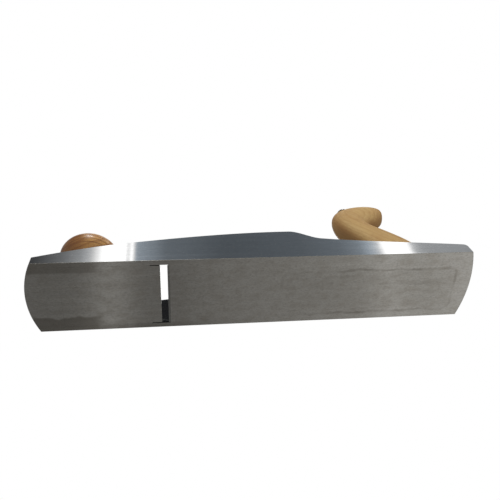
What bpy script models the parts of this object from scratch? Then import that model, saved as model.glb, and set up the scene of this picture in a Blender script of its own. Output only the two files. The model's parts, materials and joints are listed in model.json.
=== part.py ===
# Low angle bench plane with an adjustable mouth.
# Metres. +X towards the toe, +Y to the left cheek, +Z up; the sole lies on Z = 0.
import math

import bmesh
import bpy
from mathutils import Matrix, Vector

# Casting
BODY_LENGTH = 0.355
BODY_WIDTH = 0.063
CHEEK_THICKNESS = 0.0041
FLOOR_THICKNESS = 0.0055
TOE_BULGE = 0.0071
HEEL_BULGE = 0.0047
END_STEPS = 16

# Cheek outline: heights above the sole, distances from the iron's edge
TOE_HEIGHT = 0.0088
TOE_SLOPE = -0.33
KNEE_AHEAD_OF_EDGE = 0.0333
KNEE_HEIGHT = 0.0262
KNEE_SLOPE = -0.17
HUMP_BEHIND_EDGE = 0.1000
HUMP_HEIGHT = 0.0399
SADDLE_BEHIND_EDGE = 0.1247
SADDLE_HEIGHT = 0.0276
SADDLE_SLOPE = 0.19
HEEL_HEIGHT = 0.0121
HEEL_SLOPE = 0.14
HEEL_ROUND = 0.0034

# Bed and mouth
EDGE_BEHIND_TOE = 0.1058
BED_ANGLE = math.radians(12.0)
EDGE_ABOVE_SOLE = 0.0001
IRON_SEAT_GAP = 0.00024
BED_LIP = 0.0009
BED_LENGTH = 0.1120
WALL_ROOM = 0.0200
RELIEF_HALF_WIDTH = 0.0170
RELIEF_FRONT = (0.0280, 0.0480)
RELIEF_REAR = (0.0680, 0.0960)

# Toe plate and its deck
MOUTH_GAP = 0.0053
PLATE_FRONT_AHEAD_OF_KNOB = 0.0150
PLATE_THICKNESS = 0.0065
PLATE_SIDE_GAP = 0.0001
PLATE_SEAT_GAP = 0.0003
PLATE_END_GAP = 0.0001
PLATE_RELIEF_LENGTH = 0.0076
PLATE_RELIEF_DEPTH = 0.0006
PLATE_CHAMFER = 0.0040
DECK_THICKNESS = 0.0047
THROAT_WALL_AHEAD_OF_MOUTH = 0.0075
THROAT_WALL_LEAN = 0.0040
GUIDE_RADIUS = 0.0057
GUIDE_GAP = 0.0003
GUIDE_TOP_GAP = 0.0003
MOUTH_TRAVEL = 0.0039

# Knob and its stud
KNOB_BEHIND_TOE = 0.0408
STUD_RADIUS = 0.0040
STUD_PLATE_COVER = 0.0025
STUD_GAP = 0.0002
STUD_GRIP = 0.0260
LEVER_THICKNESS = 0.0025
LEVER_GAP = 0.0002
LEVER_PIVOT_BEHIND_KNOB = 0.0160
LEVER_PIVOT_RADIUS = 0.0025
LEVER_SWING = math.radians(35.0)
LEVER_SLOT_GAP = 0.0003
LEVER_HUB_RADIUS = 0.0080
LEVER_HEAD_HALF_WIDTH = 0.0124
LEVER_TAB_HALF_WIDTH = 0.0055
LEVER_REACH = 0.0470
WASHER_RADIUS = 0.0125
WASHER_THICKNESS = 0.0015
SEAT_GAP = 0.0002
BUSH_FLANGE_RADIUS = 0.0140
BUSH_FLANGE_THICKNESS = 0.0025
BUSH_RADIUS = 0.0065
KNOB_HEIGHT = 0.0490
KNOB_FOOT_RADIUS = 0.0150
KNOB_FOOT_BAND = 0.0024
KNOB_WAIST_RADIUS = 0.0118
KNOB_WAIST_HEIGHT = 0.0120
KNOB_RIM_RADIUS = 0.0240
KNOB_RIM_HEIGHT = 0.0358
KNOB_FLARE_POWER = 0.92
KNOB_STEPS = 40

# Iron
IRON_LENGTH = 0.1400
IRON_SIDE_GAP = 0.0004
IRON_THICKNESS = 0.0040
IRON_BEVEL = math.radians(25.0)
IRON_TAIL_CLIP = 0.0120
IRON_SLOT_FRONT = 0.0400
IRON_SLOT_REAR = 0.0780
IRON_SLOT_HALF_WIDTH = 0.0055
GROOVE_HALF_WIDTH = 0.0070
GROOVE_DEPTH = 0.0024
GROOVE_GAP = 0.0003

# Depth adjuster
ADJUSTER_DROP = 0.0090
ADJUSTER_STUD_RADIUS = 0.0030
ADJUSTER_STUD_GRIP = 0.0115
ADJUSTER_STUD_BEYOND_WHEEL = 0.0040
LOCK_NUT_RADIUS = 0.0058
LOCK_NUT_THICKNESS = 0.0038
FLANGE_BEHIND_BED = 0.0090
FLANGE_RADIUS = 0.0106
FLANGE_THICKNESS = 0.0020
SLEEVE_RADIUS = 0.0060
WHEEL_BEHIND_IRON = 0.0020
WHEEL_RADIUS = 0.0112
WHEEL_THICKNESS = 0.0090
WHEEL_TEETH = 30
TOOTH_DEPTH = 0.0005
BORE_GAP = 0.00015

# Lever cap
CAP_NOSE = 0.0200
CAP_REAR = 0.1060
CAP_INSET = 0.0022
CAP_REST_GAP = 0.0003
CAP_NOSE_LENGTH = 0.0045
CAP_NOSE_HEIGHT = 0.0024
CAP_NOSE_SLOPE_LENGTH = 0.0045
CAP_NOSE_SLOPE_RISE = 0.0026
CAP_FRONT_LENGTH = 0.0180
CAP_HOLLOW = 0.0022
CAP_TRACK_HEIGHT = 0.0070
CAP_MIDDLE_HEIGHT = 0.0108
CAP_TOP_HEIGHT = 0.0165
CAP_BROW_LENGTH = 0.0120
CAP_BROW_DROP = 0.0008
CAP_END_LENGTH = 0.0030
CAP_END_DROP = 0.0012
CAP_END_FACE = 0.0028
CAP_STEP = 0.0100
CAP_TAIL_HALF_WIDTH = 0.0098
CAP_SHOULDER_AHEAD = 0.0200
CAP_SHOULDER_LENGTH = 0.0100
CAP_SHOULDER_INSET = 0.0012
CAP_WAIST_LENGTH = 0.0150
CAP_WAIST_INSET = 0.0060
CAP_NECK_FLARE = 0.0032
CAP_TRAVEL = 0.0120
CAP_SCREW_PLACE = 0.0620
CAP_SCREW_RADIUS = 0.0035
CAP_SCREW_DEPTH = 0.0085
CAP_HEAD_RADIUS = 0.0060
CAP_HEAD_THICKNESS = 0.0036
CAP_HEAD_GAP = 0.0003
CAP_HEAD_CHAMFER = 0.0006
KEYHOLE_GAP = 0.0005
DRIVER_SLOT_WIDTH = 0.0014
DRIVER_SLOT_DEPTH = 0.0015

# Cap wheel
CAP_WHEEL_PLACE = 0.0970
CAP_WHEEL_RADIUS = 0.0130
CAP_WHEEL_THICKNESS = 0.0055
CAP_WHEEL_TEETH = 32
CAP_WHEEL_ROOM = 0.0010
CAP_FOOT_RADIUS = 0.0042
CAP_FOOT_HEIGHT = 0.0017
CAP_STUD_RADIUS = 0.0030
CAP_STUD_BELOW_TOP = 0.0010

# Tote
FINGER_ROOM = 0.0152
SEAT_HEIGHT = 0.0030
SEAT_HALF_WIDTH = 0.0110
SEAT_MARGIN = 0.0020
PEG_RADIUS = 0.0040
PEG_HEIGHT = 0.0030
PEG_GRIP = 0.0045
PEG_PLACE = 0.0550
PEG_GAP = 0.0003
ROD_RADIUS = 0.0030
ROD_FOOT_PLACE = 0.0345
ROD_LEAN = math.radians(12.5)
ROD_GRIP = 0.0035
NUT_HEAD_RADIUS = 0.0062
NUT_HEAD_THICKNESS = 0.0034
NUT_BARREL_RADIUS = 0.0048
NUT_BARREL_LENGTH = 0.0260
NUT_PLACE = 0.1190
NUT_CHAMFER = 0.0007
NUT_CUT_BEYOND = 0.0300
TOTE_HALF_THICKNESS = 0.0130
TOTE_SQUARENESS = 2.6
TOTE_AROUND = 28

# Cross sections of the tote from its foot to its horn: front edge (ahead of the rear
# foot corner, above the seat), rear edge, share of the half thickness.
TOTE_SECTIONS = (
    (0.0680, 0.0000, 0.0000, 0.0000, 0.94),
    (0.0675, 0.0050, 0.0006, 0.0060, 0.94),
    (0.0620, 0.0105, 0.0020, 0.0130, 0.94),
    (0.0555, 0.0170, 0.0040, 0.0210, 0.95),
    (0.0525, 0.0255, 0.0075, 0.0310, 0.97),
    (0.0545, 0.0375, 0.0125, 0.0418, 1.00),
    (0.0602, 0.0505, 0.0194, 0.0530, 1.00),
    (0.0672, 0.0645, 0.0280, 0.0638, 1.00),
    (0.0734, 0.0780, 0.0384, 0.0736, 0.99),
    (0.0764, 0.0890, 0.0458, 0.0800, 0.97),
    (0.0770, 0.0990, 0.0464, 0.0858, 0.94),
    (0.0748, 0.1080, 0.0428, 0.0900, 0.91),
    (0.0690, 0.1156, 0.0384, 0.0928, 0.88),
    (0.0592, 0.1206, 0.0336, 0.0952, 0.86),
    (0.0480, 0.1228, 0.0292, 0.0982, 0.83),
    (0.0372, 0.1216, 0.0258, 0.1018, 0.78),
    (0.0288, 0.1176, 0.0240, 0.1060, 0.66),
)
TOTE_TIP = (0.0238, 0.1120)

# Places worked out from the sizes
TOP = HUMP_HEIGHT + WALL_ROOM
MARGIN = 0.002
TOE_X = BODY_LENGTH / 2.0
HEEL_X = -BODY_LENGTH / 2.0
THROAT_HALF = BODY_WIDTH / 2.0 - CHEEK_THICKNESS
EDGE_X = TOE_X - EDGE_BEHIND_TOE
KNOB_X = TOE_X - KNOB_BEHIND_TOE
PIVOT_X = KNOB_X - LEVER_PIVOT_BEHIND_KNOB
PLATE_REAR_X = EDGE_X + MOUTH_GAP
PLATE_FRONT_X = KNOB_X + PLATE_FRONT_AHEAD_OF_KNOB
LEDGE_Z = PLATE_THICKNESS + PLATE_SEAT_GAP
DECK_Z = LEDGE_Z + DECK_THICKNESS
LEVER_Z = DECK_Z + LEVER_GAP
WASHER_Z = LEVER_Z + LEVER_THICKNESS + LEVER_GAP
BUSH_Z = WASHER_Z + WASHER_THICKNESS + SEAT_GAP
KNOB_Z = BUSH_Z + BUSH_FLANGE_THICKNESS + SEAT_GAP
STUD_TOP_Z = KNOB_Z + STUD_GRIP
SEAT_Z = FLOOR_THICKNESS + SEAT_HEIGHT
IRON_WIDTH = 2.0 * (THROAT_HALF - IRON_SIDE_GAP)
FLANGE_PLACE = BED_LENGTH + FLANGE_BEHIND_BED
ADJUSTER_STUD_START = BED_LENGTH - ADJUSTER_STUD_GRIP
ADJUSTER_STUD_END = IRON_LENGTH + WHEEL_BEHIND_IRON + WHEEL_THICKNESS + ADJUSTER_STUD_BEYOND_WHEEL
CAP_Z = IRON_THICKNESS + CAP_REST_GAP
HEAD_Z = CAP_Z + CAP_TRACK_HEIGHT + CAP_HEAD_GAP
CAP_WHEEL_Z = CAP_Z + CAP_FOOT_HEIGHT + SEAT_GAP
CAP_TAIL_Z = CAP_WHEEL_Z + CAP_WHEEL_THICKNESS + CAP_REST_GAP

# Iron plane: origin on the resting edge, local X down the bed, local Z off the bed
BED_FRAME = Matrix.Translation((EDGE_X, 0.0, EDGE_ABOVE_SOLE)) @ Matrix.Rotation(BED_ANGLE, 4, "Y")
# The handle stands behind the adjuster, with room for a finger between them
TOTE_X = (BED_FRAME @ Vector((-ADJUSTER_STUD_END, 0.0, -ADJUSTER_DROP))).x - FINGER_ROOM - TOTE_SECTIONS[0][0]
TOTE_FRAME = Matrix.Translation((TOTE_X, 0.0, SEAT_Z))
ROD_IN_TOTE = Matrix.Translation((ROD_FOOT_PLACE, 0.0, 0.0)) @ Matrix.Rotation(ROD_LEAN, 4, "Y")
PEG_IN_TOTE = Matrix.Translation((PEG_PLACE, 0.0, 0.0))


def material(name, colour, roughness, metallic):
    made = bpy.data.materials.new(name)
    made.use_nodes = True
    shader = made.node_tree.nodes["Principled BSDF"]
    shader.inputs["Base Color"].default_value = (*colour, 1.0)
    shader.inputs["Roughness"].default_value = roughness
    shader.inputs["Metallic"].default_value = metallic
    return made


def solid(name, points, faces):
    mesh = bpy.data.meshes.new(name)
    mesh.from_pydata([tuple(point) for point in points], [], faces)
    work = bmesh.new()
    work.from_mesh(mesh)
    bmesh.ops.recalc_face_normals(work, faces=work.faces)
    work.to_mesh(mesh)
    work.free()
    made = bpy.data.objects.new(name, mesh)
    bpy.context.scene.collection.objects.link(made)
    return made


def prism(name, outline, low, high, axis):
    # outline is in X and Z for axis Y, in X and Y for axis Z
    count = len(outline)
    points = []
    for level in (low, high):
        for first, second in outline:
            points.append((first, level, second) if axis == "Y" else (first, second, level))
    faces = [tuple(range(count)), tuple(range(2 * count - 1, count - 1, -1))]
    for i in range(count):
        j = (i + 1) % count
        faces.append((i, j, count + j, count + i))
    return solid(name, points, faces)


def box(name, low, high):
    outline = ((low[0], low[1]), (high[0], low[1]), (high[0], high[1]), (low[0], high[1]))
    return prism(name, outline, low[2], high[2], "Z")


def lathe(name, profile, steps, axis="Z", teeth=()):
    # profile: (radius, height) along the axis; a radius of 0 closes the form at that end.
    # teeth: numbers of the profile points whose every second corner lies deeper.
    points = []
    rings = []
    for number, (radius, height) in enumerate(profile):
        if radius <= 0.0:
            rings.append([len(points)])
            points.append((0.0, 0.0, height))
            continue
        ring = []
        for step in range(steps):
            angle = 2.0 * math.pi * step / steps
            depth = TOOTH_DEPTH if number in teeth and step % 2 else 0.0
            ring.append(len(points))
            points.append(((radius - depth) * math.cos(angle), (radius - depth) * math.sin(angle), height))
        rings.append(ring)
    if axis == "X":
        points = [(height, first, second) for first, second, height in points]
    open_ends = len(rings[0]) == 1
    faces = []
    for number in range(len(rings) - 1 if open_ends else len(rings)):
        one = rings[number]
        two = rings[(number + 1) % len(rings)]
        for step in range(steps):
            after = (step + 1) % steps
            if len(one) == 1:
                faces.append((one[0], two[step], two[after]))
            elif len(two) == 1:
                faces.append((one[step], two[0], one[after]))
            else:
                faces.append((one[step], two[step], two[after], one[after]))
    return solid(name, points, faces)


def cylinder(name, radius, low, high, steps=32, axis="Z"):
    return lathe(name, ((0.0, low), (radius, low), (radius, high), (0.0, high)), steps, axis)


def moved(thing, matrix):
    thing.data.transform(matrix)
    return thing


def combine(target, tools, operation):
    for tool in tools:
        change = target.modifiers.new(operation, "BOOLEAN")
        change.operation = operation
        change.solver = "EXACT"
        change.object = tool
    bpy.context.view_layer.update()
    graph = bpy.context.evaluated_depsgraph_get()
    mesh = bpy.data.meshes.new_from_object(target.evaluated_get(graph))
    target.modifiers.clear()
    target.data = mesh
    mesh.name = target.name
    for tool in tools:
        bpy.data.objects.remove(tool)
    return target


def cut(target, *tools):
    return combine(target, tools, "DIFFERENCE")


def join(target, *tools):
    return combine(target, tools, "UNION")


def keep_within(target, *tools):
    return combine(target, tools, "INTERSECT")


def finish(thing, look, smooth=False, angle=35.0):
    thing.data.materials.clear()
    thing.data.materials.append(look)
    for face in thing.data.polygons:
        face.material_index = 0
        face.use_smooth = smooth
    if smooth:
        thing.data.set_sharp_from_angle(angle=math.radians(angle))
    return thing


def rest_on(thing, frame, place=(0.0, 0.0, 0.0)):
    thing.parent = frame
    thing.location = place
    return thing


def circle(centre, radius, steps, start=0.0, sweep=2.0 * math.pi, closed=False):
    count = steps + 1 if closed else steps
    return [
        (
            centre[0] + radius * math.cos(start + sweep * step / steps),
            centre[1] + radius * math.sin(start + sweep * step / steps),
        )
        for step in range(count)
    ]


def stadium(rear, front, half_width, steps=12):
    outline = circle((front, 0.0), half_width, steps, -math.pi / 2.0, math.pi, True)
    return outline + circle((rear, 0.0), half_width, steps, math.pi / 2.0, math.pi, True)


def ease(start, end, steps):
    # smooth curve between two points (x, z, slope), without its last point
    span = end[0] - start[0]
    points = []
    for step in range(steps):
        t = step / steps
        height = (2 * t**3 - 3 * t**2 + 1) * start[1] + (3 * t**2 - 2 * t**3) * end[1]
        height += span * ((t**3 - 2 * t**2 + t) * start[2] + (t**3 - t**2) * end[2])
        points.append((start[0] + span * t, height))
    return points


def bulge(end_x, corner_x, steps):
    # plan of one end of the casting: an arc through both corners and the end
    depth = abs(end_x - corner_x)
    half = BODY_WIDTH / 2.0
    radius = (half**2 + depth**2) / (2.0 * depth)
    sweep = math.asin(half / radius)
    way = 1.0 if end_x > corner_x else -1.0
    centre = end_x - way * radius
    points = []
    for step in range(steps + 1):
        turn = way * sweep * (2.0 * step / steps - 1.0)
        points.append((centre + way * radius * math.cos(turn), radius * math.sin(turn)))
    return points


def cheek_outline():
    toe_corner = TOE_X - TOE_BULGE
    heel_corner = HEEL_X + HEEL_BULGE
    toe = (toe_corner, TOE_HEIGHT, TOE_SLOPE)
    knee = (EDGE_X + KNEE_AHEAD_OF_EDGE, KNEE_HEIGHT, KNEE_SLOPE)
    hump = (EDGE_X - HUMP_BEHIND_EDGE, HUMP_HEIGHT, 0.0)
    saddle = (EDGE_X - SADDLE_BEHIND_EDGE, SADDLE_HEIGHT, SADDLE_SLOPE)
    heel = (heel_corner, HEEL_HEIGHT, HEEL_SLOPE)
    outline = [(HEEL_X, 0.0), (TOE_X, 0.0), (TOE_X, TOE_HEIGHT + TOE_SLOPE * TOE_BULGE)]
    outline += ease(toe, knee, 8) + ease(knee, hump, 14) + ease(hump, saddle, 12)
    run = ease(saddle, heel, 16)
    outline += [point for point in run if point[0] > heel_corner + HEEL_ROUND]
    start = (heel_corner + HEEL_ROUND, HEEL_HEIGHT + HEEL_SLOPE * HEEL_ROUND)
    for step in range(7):
        t = step / 6.0
        first = (1.0 - t) ** 2
        last = t**2
        turn = 2.0 * t * (1.0 - t)
        x = first * start[0] + turn * heel_corner + last * heel_corner
        z = first * start[1] + turn * HEEL_HEIGHT + last * (HEEL_HEIGHT - HEEL_ROUND)
        outline.append((x, z))
    outline.append((heel_corner, FLOOR_THICKNESS))
    outline.append((HEEL_X, FLOOR_THICKNESS))
    return outline


def bed_point(back, off):
    return BED_FRAME @ Vector((-back, 0.0, off))


def make_body():
    corner = (TOE_X - TOE_BULGE, HEEL_X + HEEL_BULGE)
    side = BODY_WIDTH / 2.0
    casting = prism("body", cheek_outline(), -side - MARGIN, side + MARGIN, "Y")
    plan = bulge(TOE_X, corner[0], END_STEPS) + bulge(HEEL_X, corner[1], END_STEPS)
    keep_within(casting, prism("plan", plan, -MARGIN, TOP, "Z"))
    # one channel from heel to toe: well, bed, mouth, plate pocket and deck
    lip_back = (BED_LIP - EDGE_ABOVE_SOLE + IRON_SEAT_GAP * math.cos(BED_ANGLE)) / math.sin(BED_ANGLE)
    lip = bed_point(lip_back, -IRON_SEAT_GAP)
    crest = bed_point(BED_LENGTH, -IRON_SEAT_GAP)
    wall = PLATE_REAR_X + THROAT_WALL_AHEAD_OF_MOUTH
    pocket = PLATE_FRONT_X + PLATE_END_GAP
    channel = (
        (lip.x, -MARGIN),
        (lip.x, lip.z),
        (crest.x, crest.z),
        (crest.x - (crest.z - FLOOR_THICKNESS) * math.tan(BED_ANGLE), FLOOR_THICKNESS),
        (HEEL_X - MARGIN, FLOOR_THICKNESS),
        (HEEL_X - MARGIN, TOP),
        (TOE_X + MARGIN, TOP),
        (TOE_X + MARGIN, DECK_Z),
        (wall + THROAT_WALL_LEAN, DECK_Z),
        (wall, LEDGE_Z),
        (pocket, LEDGE_Z),
        (pocket, -MARGIN),
    )
    cut(casting, prism("channel", channel, -THROAT_HALF, THROAT_HALF, "Y"))
    # hollows under the iron, with a rib left for the cap screw
    reliefs = []
    for near, far in (RELIEF_FRONT, RELIEF_REAR):
        low = (EDGE_X - far, -RELIEF_HALF_WIDTH, FLOOR_THICKNESS)
        high = (EDGE_X - near, RELIEF_HALF_WIDTH, TOP)
        reliefs.append(box("relief", low, high))
    cut(casting, *reliefs)
    seat_front = TOTE_X + TOTE_SECTIONS[0][0] + SEAT_MARGIN - SEAT_HALF_WIDTH
    seat_rear = TOTE_X - SEAT_MARGIN + SEAT_HALF_WIDTH
    seat = prism("seat", stadium(seat_rear, seat_front, SEAT_HALF_WIDTH), FLOOR_THICKNESS / 2.0, SEAT_Z, "Z")
    join(casting, seat)
    peg = cylinder("peg", PEG_RADIUS + BORE_GAP, -PEG_GRIP - STUD_GAP, MARGIN, 24)
    moved(peg, TOTE_FRAME @ PEG_IN_TOTE)
    guide_plan = stadium(KNOB_X - MOUTH_TRAVEL, KNOB_X, GUIDE_RADIUS + GUIDE_GAP)
    guide = prism("guide", guide_plan, LEDGE_Z - MARGIN, DECK_Z + MARGIN, "Z")
    pivot = cylinder("pivot", LEVER_PIVOT_RADIUS + BORE_GAP, LEDGE_Z - MARGIN, DECK_Z + MARGIN, 24)
    moved(pivot, Matrix.Translation((PIVOT_X, 0.0, 0.0)))
    screw = cylinder("screw", CAP_SCREW_RADIUS + BORE_GAP, -CAP_SCREW_DEPTH - STUD_GAP, CAP_SCREW_DEPTH)
    moved(screw, BED_FRAME @ Matrix.Translation((-CAP_SCREW_PLACE, 0.0, 0.0)))
    stud = cylinder(
        "stud", ADJUSTER_STUD_RADIUS + BORE_GAP, -ADJUSTER_STUD_END, STUD_GAP - ADJUSTER_STUD_START, 32, "X"
    )
    moved(stud, BED_FRAME @ Matrix.Translation((0.0, 0.0, -ADJUSTER_DROP)))
    rod = cylinder("rod", ROD_RADIUS + BORE_GAP, -ROD_GRIP - STUD_GAP, WALL_ROOM)
    moved(rod, TOTE_FRAME @ ROD_IN_TOTE)
    return cut(casting, guide, pivot, screw, stud, rod, peg)


def make_toe_plate():
    half = THROAT_HALF - PLATE_SIDE_GAP
    waist = half - PLATE_RELIEF_DEPTH
    relief = PLATE_REAR_X + PLATE_RELIEF_LENGTH
    outline = (
        (PLATE_REAR_X, -waist),
        (relief, -waist),
        (relief, -half),
        (PLATE_FRONT_X, -half),
        (PLATE_FRONT_X, half),
        (relief, half),
        (relief, waist),
        (PLATE_REAR_X, waist),
    )
    plate = prism("toe_plate", outline, 0.0, PLATE_THICKNESS, "Z")
    slope = (
        (PLATE_REAR_X - MARGIN, PLATE_THICKNESS - PLATE_CHAMFER - MARGIN),
        (PLATE_REAR_X + PLATE_CHAMFER + MARGIN, PLATE_THICKNESS + MARGIN),
        (PLATE_REAR_X - MARGIN, PLATE_THICKNESS + MARGIN),
    )
    boss = cylinder("boss", GUIDE_RADIUS, PLATE_THICKNESS / 2.0, DECK_Z - GUIDE_TOP_GAP)
    join(plate, moved(boss, Matrix.Translation((KNOB_X, 0.0, 0.0))))
    hole = cylinder("hole", STUD_RADIUS + BORE_GAP, STUD_PLATE_COVER, DECK_Z + MARGIN)
    moved(hole, Matrix.Translation((KNOB_X, 0.0, 0.0)))
    return cut(plate, prism("slope", slope, -half - MARGIN, half + MARGIN, "Y"), hole)


def make_mouth_lever():
    # drawn about the pivot with the tab along +X, then turned to its resting direction
    middle = LEVER_SWING / 2.0
    reach = LEVER_PIVOT_BEHIND_KNOB
    shoulder = reach + STUD_RADIUS
    outline = circle((0.0, 0.0), LEVER_HUB_RADIUS, 10, math.pi / 2.0, math.pi, True)
    outline.append((LEVER_HUB_RADIUS, -LEVER_HEAD_HALF_WIDTH))
    outline.append((shoulder, -LEVER_HEAD_HALF_WIDTH))
    outline.append((shoulder + LEVER_HEAD_HALF_WIDTH - LEVER_TAB_HALF_WIDTH, -LEVER_TAB_HALF_WIDTH))
    tip = LEVER_REACH - LEVER_TAB_HALF_WIDTH
    outline += circle((tip, 0.0), LEVER_TAB_HALF_WIDTH, 10, -math.pi / 2.0, math.pi, True)
    outline.append((shoulder + LEVER_HEAD_HALF_WIDTH - LEVER_TAB_HALF_WIDTH, LEVER_TAB_HALF_WIDTH))
    outline.append((shoulder, LEVER_HEAD_HALF_WIDTH))
    outline.append((LEVER_HUB_RADIUS, LEVER_HEAD_HALF_WIDTH))
    lever = prism("mouth_lever", outline, 0.0, LEVER_THICKNESS, "Z")
    # cam slot: a spiral whose radius falls evenly with the turn
    half = STUD_RADIUS + LEVER_SLOT_GAP
    fall = MOUTH_TRAVEL / LEVER_SWING
    inner = []
    outer = []
    steps = 10
    for step in range(steps + 1):
        turn = LEVER_SWING * step / steps
        radius = reach - fall * turn
        place = Vector((radius * math.cos(turn - middle), radius * math.sin(turn - middle)))
        along = Vector((-math.sin(turn - middle), math.cos(turn - middle))) * radius
        along -= Vector((math.cos(turn - middle), math.sin(turn - middle))) * fall
        along.normalize()
        across = Vector((along.y, -along.x))
        outer.append(place + across * half)
        inner.append(place - across * half)
        if step == 0:
            first = (place, math.atan2(-across.y, -across.x))
        last = (place, math.atan2(across.y, across.x))
    slot = [tuple(point) for point in outer]
    slot += circle(last[0], half, 10, last[1], math.pi, True)[1:-1]
    slot += [tuple(point) for point in reversed(inner)]
    slot += circle(first[0], half, 10, first[1], math.pi, True)[1:-1]
    hole = cylinder("hole", LEVER_PIVOT_RADIUS + BORE_GAP, -MARGIN, LEVER_THICKNESS + MARGIN, 24)
    cut(lever, prism("slot", slot, -MARGIN, LEVER_THICKNESS + MARGIN, "Z"), hole)
    return moved(lever, Matrix.Rotation(middle, 4, "Z"))


def make_front_knob():
    # turned outline above the foot, from the bush's blind bore over the foot to the crown
    bore = BUSH_RADIUS + BORE_GAP
    depth = STUD_GRIP + 2.0 * SEAT_GAP
    rise = KNOB_RIM_HEIGHT - KNOB_WAIST_HEIGHT
    flare = KNOB_RIM_RADIUS - KNOB_WAIST_RADIUS
    crown = KNOB_HEIGHT - KNOB_RIM_HEIGHT
    profile = [(0.0, depth), (bore, depth), (bore, 0.0), (KNOB_FOOT_RADIUS, 0.0)]
    profile.append((KNOB_FOOT_RADIUS, KNOB_FOOT_BAND))
    for step in range(1, 7):
        t = step / 6.0
        share = 1.0 - math.sin(t * math.pi / 2.0)
        height = KNOB_FOOT_BAND + (KNOB_WAIST_HEIGHT - KNOB_FOOT_BAND) * t
        profile.append((KNOB_WAIST_RADIUS + (KNOB_FOOT_RADIUS - KNOB_WAIST_RADIUS) * share, height))
    for step in range(1, 9):
        t = step / 8.0
        share = 0.5 - 0.5 * math.cos(math.pi * t**KNOB_FLARE_POWER)
        profile.append((KNOB_WAIST_RADIUS + flare * share, KNOB_WAIST_HEIGHT + rise * t))
    for step in range(1, 8):
        turn = 0.5 * math.pi * step / 8.0
        profile.append((KNOB_RIM_RADIUS * math.cos(turn), KNOB_RIM_HEIGHT + crown * math.sin(turn)))
    profile.append((0.0, KNOB_HEIGHT))
    return lathe("front_knob", profile, KNOB_STEPS)


def make_iron():
    half = IRON_WIDTH / 2.0
    back = IRON_THICKNESS / math.tan(IRON_BEVEL)
    side = ((0.0, 0.0), (-back, IRON_THICKNESS), (-IRON_LENGTH, IRON_THICKNESS), (-IRON_LENGTH, 0.0))
    iron = prism("iron", side, -half, half, "Y")
    plan = (
        (MARGIN, -half - MARGIN),
        (MARGIN, half + MARGIN),
        (IRON_TAIL_CLIP - IRON_LENGTH + MARGIN, half + MARGIN),
        (-IRON_LENGTH - MARGIN, half - IRON_TAIL_CLIP - MARGIN),
        (-IRON_LENGTH - MARGIN, -half + IRON_TAIL_CLIP + MARGIN),
        (IRON_TAIL_CLIP - IRON_LENGTH + MARGIN, -half - MARGIN),
    )
    keep_within(iron, prism("plan", plan, -MARGIN, IRON_THICKNESS + MARGIN, "Z"))
    slot_plan = stadium(-IRON_SLOT_REAR, -IRON_SLOT_FRONT, IRON_SLOT_HALF_WIDTH)
    slot = prism("slot", slot_plan, -MARGIN, IRON_THICKNESS + MARGIN, "Z")
    beyond = 2.0 * MARGIN
    passage = cylinder("passage", CAP_HEAD_RADIUS + 1.5 * KEYHOLE_GAP, -beyond, IRON_THICKNESS + beyond)
    moved(passage, Matrix.Translation((-IRON_SLOT_REAR, 0.0, 0.0)))
    groove = box(
        "groove",
        (-FLANGE_PLACE - FLANGE_THICKNESS - GROOVE_GAP, -GROOVE_HALF_WIDTH, -MARGIN),
        (-FLANGE_PLACE + GROOVE_GAP, GROOVE_HALF_WIDTH, GROOVE_DEPTH),
    )
    return cut(iron, slot, passage, groove)


def make_depth_wheel():
    # local X runs down the bed; the flange sits in the iron's groove, the wheel behind the iron
    bore = ADJUSTER_STUD_RADIUS + BORE_GAP
    front = -FLANGE_PLACE
    flange = front - FLANGE_THICKNESS
    wheel = -IRON_LENGTH - WHEEL_BEHIND_IRON
    end = wheel - WHEEL_THICKNESS
    edge = 2.0 * TOOTH_DEPTH
    profile = (
        (bore, front),
        (FLANGE_RADIUS, front),
        (FLANGE_RADIUS, flange),
        (SLEEVE_RADIUS, flange),
        (SLEEVE_RADIUS, wheel),
        (WHEEL_RADIUS - edge, wheel),
        (WHEEL_RADIUS, wheel - edge),
        (WHEEL_RADIUS, end + edge),
        (WHEEL_RADIUS - edge, end),
        (bore, end),
    )
    return lathe("depth_wheel", profile, 2 * WHEEL_TEETH, "X", (6, 7))


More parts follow.
